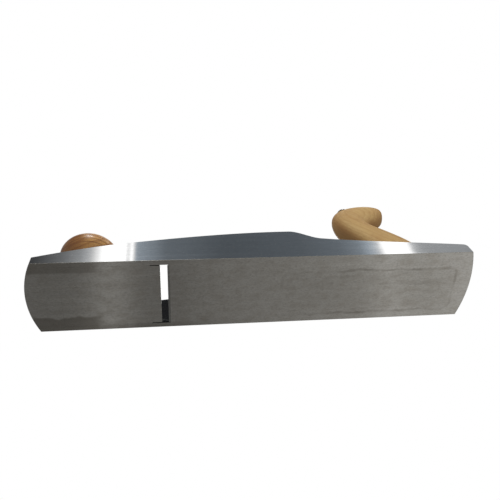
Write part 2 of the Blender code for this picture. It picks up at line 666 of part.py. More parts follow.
def make_lever_cap():
    half = IRON_WIDTH / 2.0 - CAP_INSET
    rest = CAP_Z
    side = (
        (-CAP_NOSE, rest),
        (-CAP_NOSE, rest + CAP_NOSE_HEIGHT),
        (-CAP_NOSE - CAP_NOSE_SLOPE_LENGTH, rest + CAP_NOSE_HEIGHT + CAP_NOSE_SLOPE_RISE),
        (-CAP_NOSE - CAP_FRONT_LENGTH, rest + CAP_TRACK_HEIGHT),
        (-CAP_SCREW_PLACE, rest + CAP_MIDDLE_HEIGHT),
        (-CAP_WHEEL_PLACE + CAP_BROW_LENGTH, rest + CAP_TOP_HEIGHT - CAP_BROW_DROP),
        (-CAP_WHEEL_PLACE, rest + CAP_TOP_HEIGHT),
        (-CAP_REAR + CAP_END_LENGTH, rest + CAP_TOP_HEIGHT - CAP_END_DROP),
        (-CAP_REAR, rest + CAP_TOP_HEIGHT - CAP_END_DROP - CAP_END_FACE),
        (-CAP_REAR, CAP_TAIL_Z),
        (-CAP_WHEEL_PLACE + CAP_WHEEL_RADIUS + CAP_WHEEL_ROOM, CAP_TAIL_Z),
        (-CAP_SCREW_PLACE - CAP_STEP, rest + CAP_HOLLOW),
        (-CAP_NOSE - CAP_NOSE_LENGTH - CAP_HOLLOW, rest + CAP_HOLLOW),
        (-CAP_NOSE - CAP_NOSE_LENGTH, rest),
    )
    cap = prism("lever_cap", side, -half, half, "Y")
    tail = CAP_TAIL_HALF_WIDTH
    round_end = circle((tail - CAP_REAR, 0.0), tail, 12, math.pi / 2.0, math.pi, True)
    shoulder = -CAP_SCREW_PLACE + CAP_SHOULDER_AHEAD
    bend = shoulder - CAP_SHOULDER_LENGTH
    waist = bend - CAP_WAIST_LENGTH
    neck = waist - CAP_WAIST_LENGTH
    flank = [
        (MARGIN - CAP_NOSE, half + MARGIN),
        (shoulder, half + MARGIN),
        (bend, half - CAP_SHOULDER_INSET),
        (waist, half - CAP_WAIST_INSET),
        (neck, tail + CAP_NECK_FLARE),
    ]
    plan = flank + round_end + [(x, -y) for x, y in reversed(flank)]
    keep_within(cap, prism("plan", plan, -MARGIN, TOP, "Z"))
    # flat track for the screw's head, open to the front so the cap can slide back
    lane = CAP_HEAD_RADIUS + 2.0 * KEYHOLE_GAP
    track = prism("track", stadium(-CAP_SCREW_PLACE, 0.0, lane), rest + CAP_TRACK_HEIGHT, TOP, "Z")
    narrow = CAP_SCREW_RADIUS + KEYHOLE_GAP
    key = prism("key", stadium(-CAP_SCREW_PLACE, CAP_TRAVEL - CAP_SCREW_PLACE, narrow), -MARGIN, TOP, "Z")
    entry = cylinder("entry", CAP_HEAD_RADIUS + 1.5 * KEYHOLE_GAP, -2.0 * MARGIN, TOP + MARGIN)
    moved(entry, Matrix.Translation((CAP_TRAVEL - CAP_SCREW_PLACE, 0.0, 0.0)))
    thread = cylinder("thread", CAP_STUD_RADIUS + BORE_GAP, -MARGIN, TOP)
    moved(thread, Matrix.Translation((-CAP_WHEEL_PLACE, 0.0, 0.0)))
    return cut(cap, track, key, entry, thread)


def make_cap_screw():
    top = HEAD_Z + CAP_HEAD_THICKNESS
    edge = CAP_HEAD_CHAMFER
    profile = (
        (0.0, -CAP_SCREW_DEPTH),
        (CAP_SCREW_RADIUS, -CAP_SCREW_DEPTH),
        (CAP_SCREW_RADIUS, HEAD_Z),
        (CAP_HEAD_RADIUS, HEAD_Z),
        (CAP_HEAD_RADIUS, top - edge),
        (CAP_HEAD_RADIUS - edge, top),
        (0.0, top),
    )
    screw = lathe("lever_cap_screw", profile, 32)
    half = DRIVER_SLOT_WIDTH / 2.0
    reach = CAP_HEAD_RADIUS + MARGIN
    return cut(screw, box("slot", (-half, -reach, top - DRIVER_SLOT_DEPTH), (half, reach, top + MARGIN)))


def make_cap_wheel():
    bore = CAP_STUD_RADIUS + BORE_GAP
    edge = 2.0 * TOOTH_DEPTH
    thick = CAP_WHEEL_THICKNESS
    profile = (
        (bore, 0.0),
        (CAP_WHEEL_RADIUS - edge, 0.0),
        (CAP_WHEEL_RADIUS, edge),
        (CAP_WHEEL_RADIUS, thick - edge),
        (CAP_WHEEL_RADIUS - edge, thick),
        (bore, thick),
    )
    return lathe("cap_wheel", profile, 2 * CAP_WHEEL_TEETH, "Z", (2, 3))


def make_cap_wheel_screw():
    foot = -CAP_FOOT_HEIGHT - SEAT_GAP
    top = CAP_Z + CAP_TOP_HEIGHT - CAP_STUD_BELOW_TOP - CAP_WHEEL_Z
    profile = (
        (0.0, foot),
        (CAP_FOOT_RADIUS, foot),
        (CAP_FOOT_RADIUS, foot + CAP_FOOT_HEIGHT),
        (CAP_STUD_RADIUS, foot + CAP_FOOT_HEIGHT),
        (CAP_STUD_RADIUS, top),
        (0.0, top),
    )
    return lathe("cap_wheel_screw", profile, 32)


def make_tote():
    points = []
    count = TOTE_AROUND
    power = 2.0 / TOTE_SQUARENESS
    for front_x, front_z, rear_x, rear_z, share in TOTE_SECTIONS:
        front = Vector((front_x, 0.0, front_z))
        rear = Vector((rear_x, 0.0, rear_z))
        middle = (front + rear) / 2.0
        arm = (front - rear) / 2.0
        for step in range(count):
            turn = 2.0 * math.pi * step / count
            along = math.copysign(abs(math.cos(turn)) ** power, math.cos(turn))
            across = math.copysign(abs(math.sin(turn)) ** power, math.sin(turn))
            point = middle + arm * along
            points.append((point.x, TOTE_HALF_THICKNESS * share * across, point.z + SEAT_GAP))
    faces = [tuple(range(count))]
    rows = len(TOTE_SECTIONS)
    for row in range(rows - 1):
        for step in range(count):
            after = (step + 1) % count
            low = row * count
            faces.append((low + step, low + after, low + count + after, low + count + step))
    tip = len(points)
    points.append((TOTE_TIP[0], 0.0, TOTE_TIP[1] + SEAT_GAP))
    low = (rows - 1) * count
    for step in range(count):
        faces.append((low + step, low + (step + 1) % count, tip))
    tote = solid("tote", points, faces)
    far = NUT_PLACE + NUT_CUT_BEYOND
    # one stepped bore: rod, barrel and head of the nut
    rod = ROD_RADIUS + BORE_GAP
    barrel = NUT_BARREL_RADIUS + BORE_GAP
    head = NUT_HEAD_RADIUS + 2.0 * BORE_GAP
    step_low = NUT_PLACE - NUT_BARREL_LENGTH - SEAT_GAP
    step_high = NUT_PLACE - SEAT_GAP
    bore = (
        (0.0, -WALL_ROOM),
        (rod, -WALL_ROOM),
        (rod, step_low),
        (barrel, step_low),
        (barrel, step_high),
        (head, step_high),
        (head, far),
        (0.0, far),
    )
    peg = cylinder("peg", PEG_RADIUS + PEG_GAP, -MARGIN, PEG_HEIGHT + PEG_GAP, 24)
    return cut(tote, moved(lathe("bore", bore, 32), ROD_IN_TOTE), moved(peg, PEG_IN_TOTE))


def make_tote_nut():
    bore = ROD_RADIUS + BORE_GAP
    start = NUT_PLACE - NUT_BARREL_LENGTH
    top = NUT_PLACE + NUT_HEAD_THICKNESS
    edge = NUT_CHAMFER
    profile = (
        (bore, start),
        (NUT_BARREL_RADIUS, start),
        (NUT_BARREL_RADIUS, NUT_PLACE),
        (NUT_HEAD_RADIUS, NUT_PLACE),
        (NUT_HEAD_RADIUS, top - edge),
        (NUT_HEAD_RADIUS - edge, top),
        (bore, top),
    )
    nut = lathe("tote_nut", profile, 32)
    half = DRIVER_SLOT_WIDTH / 2.0
    reach = NUT_HEAD_RADIUS + MARGIN
    return cut(nut, box("slot", (-half, -reach, top - DRIVER_SLOT_DEPTH), (half, reach, top + MARGIN)))


def main():
    for thing in list(bpy.data.objects):
        bpy.data.objects.remove(thing)
    ground = material("ground_iron", (0.30, 0.29, 0.28), 0.35, 0.9)
    beech = material("beech", (0.42, 0.25, 0.13), 0.40, 0.0)
    brass = material("brass", (0.60, 0.42, 0.16), 0.30, 1.0)
    bright = material("bright_steel", (0.45, 0.45, 0.46), 0.30, 1.0)
    tool_steel = material("tool_steel", (0.40, 0.40, 0.41), 0.28, 1.0)
    cap_iron = material("cap_iron", (0.26, 0.26, 0.27), 0.35, 0.9)

    finish(make_body(), ground)
    finish(make_toe_plate(), ground)

    stud_length = STUD_TOP_Z - STUD_PLATE_COVER - STUD_GAP
    stud = finish(cylinder("knob_stud", STUD_RADIUS, 0.0, stud_length), bright, True)
    stud.location = (KNOB_X, 0.0, STUD_PLATE_COVER + STUD_GAP)
    lever = finish(make_mouth_lever(), bright)
    lever.location = (PIVOT_X, 0.0, LEVER_Z)
    pin_length = WASHER_Z - LEVER_GAP - LEDGE_Z - SEAT_GAP
    pin = finish(cylinder("mouth_lever_pivot", LEVER_PIVOT_RADIUS, 0.0, pin_length, 24), bright, True)
    pin.location = (PIVOT_X, 0.0, LEDGE_Z + SEAT_GAP)
    bore = STUD_RADIUS + BORE_GAP
    washer_profile = (
        (bore, 0.0),
        (WASHER_RADIUS, 0.0),
        (WASHER_RADIUS, WASHER_THICKNESS),
        (bore, WASHER_THICKNESS),
    )
    washer = finish(lathe("clamp_washer", washer_profile, 32), bright, True)
    washer.location = (KNOB_X, 0.0, WASHER_Z)
    barrel = BUSH_FLANGE_THICKNESS + STUD_GRIP
    bush_profile = (
        (bore, 0.0),
        (BUSH_FLANGE_RADIUS, 0.0),
        (BUSH_FLANGE_RADIUS, BUSH_FLANGE_THICKNESS),
        (BUSH_RADIUS, BUSH_FLANGE_THICKNESS),
        (BUSH_RADIUS, barrel),
        (bore, barrel),
    )
    bush = finish(lathe("knob_bush", bush_profile, 32), brass, True)
    bush.location = (KNOB_X, 0.0, BUSH_Z)
    knob = finish(make_front_knob(), beech, True)
    knob.location = (KNOB_X, 0.0, KNOB_Z)

    bed = bpy.data.objects.new("bed_frame", None)
    bpy.context.scene.collection.objects.link(bed)
    bed.location = (EDGE_X, 0.0, EDGE_ABOVE_SOLE)
    bed.rotation_euler = (0.0, BED_ANGLE, 0.0)
    rest_on(finish(make_iron(), tool_steel), bed)
    axis = (0.0, 0.0, -ADJUSTER_DROP)
    stud = cylinder("depth_stud", ADJUSTER_STUD_RADIUS, -ADJUSTER_STUD_END, -ADJUSTER_STUD_START, 32, "X")
    rest_on(finish(stud, bright, True), bed, axis)
    nut_front = -BED_LENGTH - SEAT_GAP
    nut_rear = nut_front - LOCK_NUT_THICKNESS
    lock_nut = cylinder("depth_lock_nut", LOCK_NUT_RADIUS, nut_rear, nut_front, 6, "X")
    nut_bore = ADJUSTER_STUD_RADIUS + BORE_GAP
    cut(lock_nut, cylinder("bore", nut_bore, nut_rear - MARGIN, nut_front + MARGIN, 32, "X"))
    rest_on(finish(lock_nut, bright), bed, axis)
    rest_on(finish(make_depth_wheel(), brass, True), bed, axis)
    rest_on(finish(make_lever_cap(), cap_iron), bed)
    rest_on(finish(make_cap_screw(), bright, True), bed, (-CAP_SCREW_PLACE, 0.0, 0.0))
    rest_on(finish(make_cap_wheel(), brass, True), bed, (-CAP_WHEEL_PLACE, 0.0, CAP_WHEEL_Z))
    rest_on(finish(make_cap_wheel_screw(), bright, True), bed, (-CAP_WHEEL_PLACE, 0.0, CAP_WHEEL_Z))

    tote = finish(make_tote(), beech, True, 50.0)
    tote.location = (TOTE_X, 0.0, SEAT_Z)
    peg = finish(cylinder("tote_peg", PEG_RADIUS, -PEG_GRIP, PEG_HEIGHT, 24), bright, True)
    peg.location = (TOTE_X + PEG_PLACE, 0.0, SEAT_Z)
    lean = bpy.data.objects.new("rod_frame", None)
    bpy.context.scene.collection.objects.link(lean)
    lean.location = (TOTE_X + ROD_FOOT_PLACE, 0.0, SEAT_Z)
    lean.rotation_euler = (0.0, ROD_LEAN, 0.0)
    rod_top = NUT_PLACE + NUT_HEAD_THICKNESS - DRIVER_SLOT_DEPTH - SEAT_GAP
    rest_on(finish(cylinder("tote_rod", ROD_RADIUS, -ROD_GRIP, rod_top), bright, True), lean)
    rest_on(finish(make_tote_nut(), brass, True), lean)


main()
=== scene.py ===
"""Looks of a low angle bench plane: finishes, softened edges, knurls, threads, stage and camera.

Metres, in the part's own frame: +X towards the toe, +Y to the left cheek, +Z up, sole on Z = 0.
"""

import json
import logging
import math
from collections.abc import Callable, Iterator, Sequence
from contextlib import contextmanager
from dataclasses import dataclass
from enum import Enum, IntEnum

import bmesh
import bpy
import numpy as np
from mathutils import Matrix, Vector


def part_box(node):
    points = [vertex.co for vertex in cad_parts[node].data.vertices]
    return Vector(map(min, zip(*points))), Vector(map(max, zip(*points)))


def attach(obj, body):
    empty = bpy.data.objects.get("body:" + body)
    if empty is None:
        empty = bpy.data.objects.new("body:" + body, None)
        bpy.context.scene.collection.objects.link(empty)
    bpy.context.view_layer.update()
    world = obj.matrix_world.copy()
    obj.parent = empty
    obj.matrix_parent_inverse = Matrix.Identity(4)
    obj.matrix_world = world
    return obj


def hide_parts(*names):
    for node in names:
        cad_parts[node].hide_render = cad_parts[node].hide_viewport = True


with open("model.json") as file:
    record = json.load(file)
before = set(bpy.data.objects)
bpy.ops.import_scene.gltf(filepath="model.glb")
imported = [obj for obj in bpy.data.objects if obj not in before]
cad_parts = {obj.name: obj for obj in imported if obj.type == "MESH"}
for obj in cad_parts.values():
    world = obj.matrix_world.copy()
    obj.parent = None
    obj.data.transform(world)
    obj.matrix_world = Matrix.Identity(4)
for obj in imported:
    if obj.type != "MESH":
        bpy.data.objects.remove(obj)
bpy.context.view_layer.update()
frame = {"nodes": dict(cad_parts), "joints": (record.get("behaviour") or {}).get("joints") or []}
LOG = logging.getLogger("plane")
# edges sharper than SHARP are rounded, faces that meet flatter than FLAT are one face
SHARP = math.radians(32.0)
FLAT = math.radians(0.4)
# points nearer than MERGE are one point, points within TOUCH are on one level
MERGE = 0.000002
TOUCH = 0.00001

Colour = tuple[float, float, float]
Point = tuple[float, float, float]
Socket = bpy.types.NodeSocket
Value = float | Socket
Look = bpy.types.Material
Piece = bpy.types.Object
# pairs of radius and height, or of a place and the value there
Outline = Sequence[tuple[float, float]]
# depth under a surface by turn and height
Relief = Callable[[float, float], float]


class Slot(Enum):
    """The record's material slots."""

    GROUND = "ground_iron"
    CAP = "cap_iron"
    TOOL = "tool_steel"
    BRIGHT = "bright_steel"
    BRASS = "brass"
    BEECH = "beech"


class Axis(Enum):
    """Directions that a finish can run along."""

    X = 0
    Y = 1


class Coat(IntEnum):
    """The casting's finishes, in the order of its slots."""

    SOLE = 0
    CHEEK = 1
    GROUND = 2
    ENAMEL = 3
    ARRIS = 4


# Node trees


class Graph:
    """A node tree with short calls for adding and linking nodes."""

    def __init__(self, tree: bpy.types.NodeTree, place: Socket) -> None:
        """Keeps the tree and the coordinates, in metres, that its textures use."""
        self.tree = tree
        self.place = place

    def node(self, kind: str, *values: Value | Sequence[float], **settings: object) -> bpy.types.Node:
        """Adds a node.

        Args:
            kind: Blender's name of the node type.
            values: What its first inputs get, in order.
            settings: Properties to set on it.

        Returns:
            The new node.
        """
        made = self.tree.nodes.new(kind)
        for name, value in settings.items():
            setattr(made, name, value)
        for target, value in zip(made.inputs, values):
            self.feed(target, value)
        return made

    def feed(self, target: Socket, value: Value | Sequence[float]) -> None:
        """Links a socket to an input, or sets the input's own value.

        Args:
            target: The input.
            value: A socket, a number, a vector or a colour.
        """
        if isinstance(value, Socket):
            self.tree.links.new(value, target)
        else:
            target.default_value = value

    def math(self, operation: str, first: Value, second: Value = 0.0, clamp: bool = False) -> Socket:
        """Adds a Math node.

        Args:
            operation: Blender's name of the operation.
            first: First operand.
            second: Second operand.
            clamp: Whether the result is kept between 0 and 1.

        Returns:
            The result.
        """
        made = self.node("ShaderNodeMath", first, second, operation=operation, use_clamp=clamp)
        return made.outputs[0]

    def remap(self, value: Value, low: float, high: float, start: float, end: float) -> Socket:
        """Carries one range smoothly over to another and clamps it there.

        Args:
            value: What is carried over.
            low: Value that gives start.
            high: Value that gives end.
            start: Result at low.
            end: Result at high.

        Returns:
            The carried value.
        """
        values = (value, low, high, start, end)
        return self.node("ShaderNodeMapRange", *values, interpolation_type="SMOOTHSTEP").outputs[0]

    def rise(self, value: Value, low: float, high: float) -> Socket:
        """Rises smoothly from 0 at low to 1 at high."""
        return self.remap(value, low, high, 0.0, 1.0)

    def split(self, vector: Socket) -> tuple[Socket, ...]:
        """Takes a vector apart into its three parts."""
        return tuple(self.node("ShaderNodeSeparateXYZ", vector).outputs)

    def noise(
        self, scale: Sequence[float], detail: float = 2.0, rough: float = 0.5, bend: float = 0.0
    ) -> Socket:
        """Adds a noise pattern.

        Args:
            scale: Repeats per metre along X, Y and Z.
            detail: Octaves.
            rough: Share of the finer octaves.
            bend: Distortion.

        Returns:
            The pattern, about 0.5 on average.
        """
        place = self.node("ShaderNodeVectorMath", self.place, scale, operation="MULTIPLY")
        made = self.node("ShaderNodeTexNoise", place.outputs[0])
        inputs = {"Scale": 1.0, "Detail": detail, "Roughness": rough, "Distortion": bend}
        for name, value in inputs.items():
            self.feed(made.inputs[name], value)
        return made.outputs[0]

    def ramp(self, value: Socket, stops: Outline, top: float) -> Socket:
        """Reads a value off straight lines between stops.

        Args:
            value: What is looked up.
            stops: Pairs of a place and the value there, in rising order.
            top: A number that no stop's value is above.

        Returns:
            The value read off.
        """
        low, high = stops[0][0], stops[-1][0]
        share = self.math("DIVIDE", self.math("SUBTRACT", value, low), high - low, True)
        made = self.node("ShaderNodeValToRGB", share)
        bar = made.color_ramp.elements
        while len(bar) < len(stops):
            bar.new(0.5)
        for element, (spot, level) in zip(bar, stops):
            element.position = (spot - low) / (high - low)
            element.color = (level / top, level / top, level / top, 1.0)
        return self.math("MULTIPLY", made.outputs[0], top)

    def blend(self, share: Value, first: Socket | Colour, second: Socket | Colour) -> Socket:
        """Mixes two colours.

        Args:
            share: Share of the second colour.
            first: First colour.
            second: Second colour.

        Returns:
            The mixed colour.
        """
        made = self.node("ShaderNodeMix", share, data_type="RGBA")
        for number, colour in ((6, first), (7, second)):
            self.feed(made.inputs[number], colour if isinstance(colour, Socket) else (*colour, 1.0))
        return made.outputs[2]


def empty_graph(owner: Look | bpy.types.World) -> Graph:
    """Clears the nodes of a material or world.

    Args:
        owner: The material or world.

    Returns:
        Its empty tree, in the object's own coordinates.
    """
    owner.use_nodes = True
    tree = owner.node_tree
    tree.nodes.clear()
    return Graph(tree, tree.nodes.new("ShaderNodeTexCoord").outputs["Object"])


class Finish:
    """A procedural material on a Principled shader, in the piece's own coordinates."""

    def __init__(self, name: str) -> None:
        """Makes the material with its shader.

        Args:
            name: The material's name.
        """
        self.material = bpy.data.materials.new(name)
        self.material.use_nodes = True
        tree = self.material.node_tree
        self.shader = tree.nodes["Principled BSDF"]
        place = tree.nodes.new("ShaderNodeTexCoord").outputs["Object"]
        self.graph = Graph(tree, place)

    def set(self, **values: Value | Sequence[float]) -> None:
        """Feeds inputs of the shader by name, with _ for a blank."""
        for name, value in values.items():
            self.graph.feed(self.shader.inputs[name.replace("_", " ")], value)

    def bump(self, *layers: tuple[Socket, float]) -> None:
        """Adds relief to the shader's normal.

        Args:
            layers: Height patterns with their depth in metres.
        """
        normal = None
        for height, depth in layers:
            made = self.graph.node("ShaderNodeBump")
            self.graph.feed(made.inputs["Height"], height)
            made.inputs["Distance"].default_value = depth
            made.inputs["Strength"].default_value = 1.0
            if normal is not None:
                self.graph.feed(made.inputs["Normal"], normal)
            normal = made.outputs["Normal"]
        self.graph.feed(self.shader.inputs["Normal"], normal)


# Finishes


@dataclass(frozen=True)
class GroundMetal:
    """Metal ground in one direction, with cloudy stains."""

    name: str
    colour: Colour
    stain: Colour
    along: Axis = Axis.X
    roughness: float = 0.30
    stain_share: float = 0.5
    brushed: float = 0.85
    speckle: float = 0.25
    line_depth: float = 0.000003
    oil: Colour = (0.122, 0.112, 0.098)

    def make(self) -> Look:
        """Builds the material.

        Returns:
            The material.
        """
        finish = Finish(self.name)
        graph = finish.graph
        fine = graph.noise(self.lines(40.0, 2600.0), 2.0, 0.6)
        wide = graph.noise(self.lines(9.0, 300.0), 4.0, 0.6)
        clouds = graph.noise((90.0, 150.0, 150.0), 6.0, 0.68, 0.3)
        specks = graph.noise((500.0, 900.0, 900.0), 3.0, 0.7)
        marked = graph.math("MULTIPLY", graph.remap(clouds, 0.36, 0.72, 0.0, self.stain_share), specks)
        marked = graph.math("MULTIPLY", marked, 1.8, True)
        tone = graph.blend(marked, self.colour, self.stain)
        tone = graph.blend(graph.remap(wide, 0.45, 0.75, 0.0, 0.45), tone, self.scaled(1.16))
        tone = graph.blend(graph.remap(fine, 0.5, 0.25, 0.0, 0.4), tone, self.scaled(0.76))
        speckle = graph.noise((420.0, 900.0, 900.0), 3.0, 0.75)
        tone = graph.blend(graph.remap(speckle, 0.56, 0.30, 0.0, self.speckle), tone, self.scaled(0.6))
        film = self.film(graph)
        if film is not None:
            tone = graph.blend(film, tone, self.oil)
        rough = graph.remap(wide, 0.3, 0.7, 0.88 * self.roughness, 1.12 * self.roughness)
        rough = graph.math("ADD", rough, graph.math("MULTIPLY", marked, 0.4 * self.roughness))
        finish.set(Base_Color=tone, Roughness=rough, Metallic=1.0, Anisotropic=self.brushed)
        finish.set(Tangent=self.across(graph))
        finish.bump((wide, 1.5 * self.line_depth), (fine, self.line_depth))
        return finish.material

    def film(self, graph: Graph) -> Socket | None:
        """Share of a darker film on the metal; plain ground metal has none."""
        return None

    def scaled(self, share: float) -> Colour:
        """The metal's colour, made lighter or darker."""
        return tuple(min(1.0, share * part) for part in self.colour)

    def across(self, graph: Graph) -> Socket:
        """Direction in the surface that lies across the grinding lines.

        Args:
            graph: The material's nodes.

        Returns:
            The direction.
        """
        line = [0.0, 0.0, 0.0]
        line[self.along.value] = 1.0
        normal = graph.node("ShaderNodeNewGeometry").outputs["Normal"]
        return graph.node("ShaderNodeVectorMath", normal, line, operation="CROSS_PRODUCT").outputs[0]

    def lines(self, along: float, across: float) -> Sequence[float]:
        """Scale of a pattern that is drawn out along the grinding.

        Args:
            along: Repeats per metre along the lines.
            across: Repeats per metre across them.

        Returns:
            Repeats per metre along X, Y and Z.
        """
        scale = [across, across, across]
        scale[self.along.value] = along
        return scale


@dataclass(frozen=True)
class SoleMetal(GroundMetal):
    """The sole: ground metal with marks of dried oil at the toe, along one edge and round the heel."""

    toe_start: float = 0.118
    toe_end: float = 0.130
    low_edge: float = -0.0175
    high_edge: float = 0.0215
    rim_edge: float = -0.0235
    heel_middle: tuple[float, float] = (-0.090, -0.0038)
    heel_half: tuple[float, float] = (0.073, 0.0205)
    corner: float = 0.006
    inner_line: float = 0.0125
    low_wave: float = 0.022
    rim_wave: float = 0.006
    line_sway: float = 0.010

    def film(self, graph: Graph) -> Socket | None:
        """Wavy oil marks.

        Args:
            graph: The material's nodes.

        Returns:
            Share of the film.
        """
        x, y, _ = graph.split(graph.place)
        wave = graph.noise((55.0, 6.0, 6.0), 2.0, 0.5)
        lift = graph.math("SUBTRACT", wave, 0.5)
        waved = graph.math("ADD", y, graph.math("MULTIPLY", lift, self.low_wave))
        low = graph.rise(waved, self.low_edge, self.low_edge - 0.0022)
        high = graph.remap(y, self.high_edge, self.high_edge + 0.0016, 0.0, 0.8)
        toe = graph.math("MAXIMUM", low, high)
        toe = graph.math("MULTIPLY", toe, graph.remap(x, self.toe_start, self.toe_end, 0.0, 0.62))
        swayed = graph.math("ADD", y, graph.math("MULTIPLY", lift, self.rim_wave))
        rim = graph.remap(swayed, self.rim_edge, self.rim_edge - 0.0075, 0.0, 0.5)
        rim = graph.math("MULTIPLY", rim, graph.rise(x, -0.02, 0.10))
        far = self.from_line(graph, x, y)
        inside = graph.remap(far, 0.0, -0.004, 0.0, 0.15)
        heel = graph.math("ADD", self.line(graph, far, wave, 0.50), inside)
        blots = graph.remap(graph.noise((17.0, 75.0, 75.0), 6.0, 0.66, 0.4), 0.47, 0.72, 0.0, 0.50)
        blots = graph.math("MULTIPLY", blots, graph.remap(far, 0.0, -0.003, 0.1, 1.0))
        heel = graph.math("MAXIMUM", heel, blots)
        heel = graph.math("MULTIPLY", heel, graph.remap(x, -0.005, -0.085, 0.15, 1.0))
        inner = self.line(graph, graph.math("ADD", far, self.inner_line), wave, 0.30)
        inner = graph.math("MULTIPLY", inner, graph.rise(x, -0.115, -0.130))
        front = graph.math("MAXIMUM", toe, rim)
        return graph.math("MAXIMUM", front, graph.math("MAXIMUM", heel, inner))

    def from_line(self, graph: Graph, x: Socket, y: Socket) -> Socket:
        """Distance from the swaying line round the heel, less than 0 inside it.

        Args:
            graph: The material's nodes.
            x: Place along the sole.
            y: Place across it.

        Returns:
            The distance.
        """
        sides = []
        for part, middle, half in zip((x, y), self.heel_middle, self.heel_half):
            reach = graph.math("ABSOLUTE", graph.math("SUBTRACT", part, middle))
            sides.append(graph.math("SUBTRACT", reach, half - self.corner))
        squares = [graph.math("POWER", graph.math("MAXIMUM", side, 0.0), 2.0) for side in sides]
        outside = graph.math("SQRT", graph.math("ADD", *squares))
        inside = graph.math("MINIMUM", graph.math("MAXIMUM", *sides), 0.0)
        far = graph.math("SUBTRACT", graph.math("ADD", outside, inside), self.corner)
        sway = graph.math("SUBTRACT", graph.noise((34.0, 34.0, 34.0), 6.0, 0.68), 0.5)
        return graph.math("ADD", far, graph.math("MULTIPLY", sway, self.line_sway))

    def line(self, graph: Graph, far: Socket, wave: Socket, share: float) -> Socket:
        """The dark rim that a drying drop leaves.

        Args:
            graph: The material's nodes.
            far: Distance from the line.
            wave: Pattern by which it fades in places.
            share: Its share at most.

        Returns:
            Share of the film.
        """
        drawn = graph.remap(graph.math("ABSOLUTE", far), 0.0019, 0.0002, 0.0, share)
        drawn = graph.math("MULTIPLY", drawn, graph.remap(wave, 0.25, 0.6, 0.5, 1.0))
        breaks = graph.noise((48.0, 48.0, 48.0), 4.0, 0.6)
        return graph.math("MULTIPLY", drawn, graph.remap(breaks, 0.36, 0.6, 0.35, 1.2))


@dataclass(frozen=True)
class TurnedMetal:
    """Turned metal with a fine grain and a cloudy tarnish."""

    name: str
    colour: Colour
    tarnish: Colour
    roughness: float = 0.27

    def make(self) -> Look:
        """Builds the material.

        Returns:
            The material.
        """
        finish = Finish(self.name)
        graph = finish.graph
        clouds = graph.noise((120.0, 120.0, 120.0), 4.0, 0.6)
        grain = graph.noise((2600.0, 2600.0, 2600.0), 2.0)
        tone = graph.blend(graph.remap(clouds, 0.46, 0.74, 0.0, 0.75), self.colour, self.tarnish)
        rough = graph.remap(clouds, 0.35, 0.75, self.roughness - 0.05, self.roughness + 0.12)
        finish.set(Base_Color=tone, Roughness=rough, Metallic=1.0)
        finish.bump((grain, 0.000004))
        return finish.material


@dataclass(frozen=True)
class Enamel:
    """Black enamel on rough cast iron."""

    name: str = "black_enamel"
    colour: Colour = (0.0045, 0.0049, 0.0062)
    dust: Colour = (0.012, 0.0118, 0.0115)
    roughness: float = 0.27
    gloss: float = 0.022

    def make(self) -> Look:
        """Builds the material.

        Returns:
            The material.
        """
        finish = Finish(self.name)
        graph = finish.graph
        pebbles = graph.noise((700.0, 700.0, 700.0), 3.0, 0.55)
        waves = graph.noise((150.0, 150.0, 150.0), 2.0)
        dust = graph.remap(graph.noise((60.0, 60.0, 60.0), 5.0, 0.7), 0.56, 0.8, 0.0, 0.7)
        tone = graph.blend(dust, self.colour, self.dust)
        rough = graph.math("ADD", self.roughness, graph.math("MULTIPLY", dust, 0.3))
        finish.set(Base_Color=tone, Roughness=rough, Metallic=0.0, Specular_IOR_Level=self.gloss)
        finish.bump((waves, 0.00010), (pebbles, 0.00006))
        return finish.material


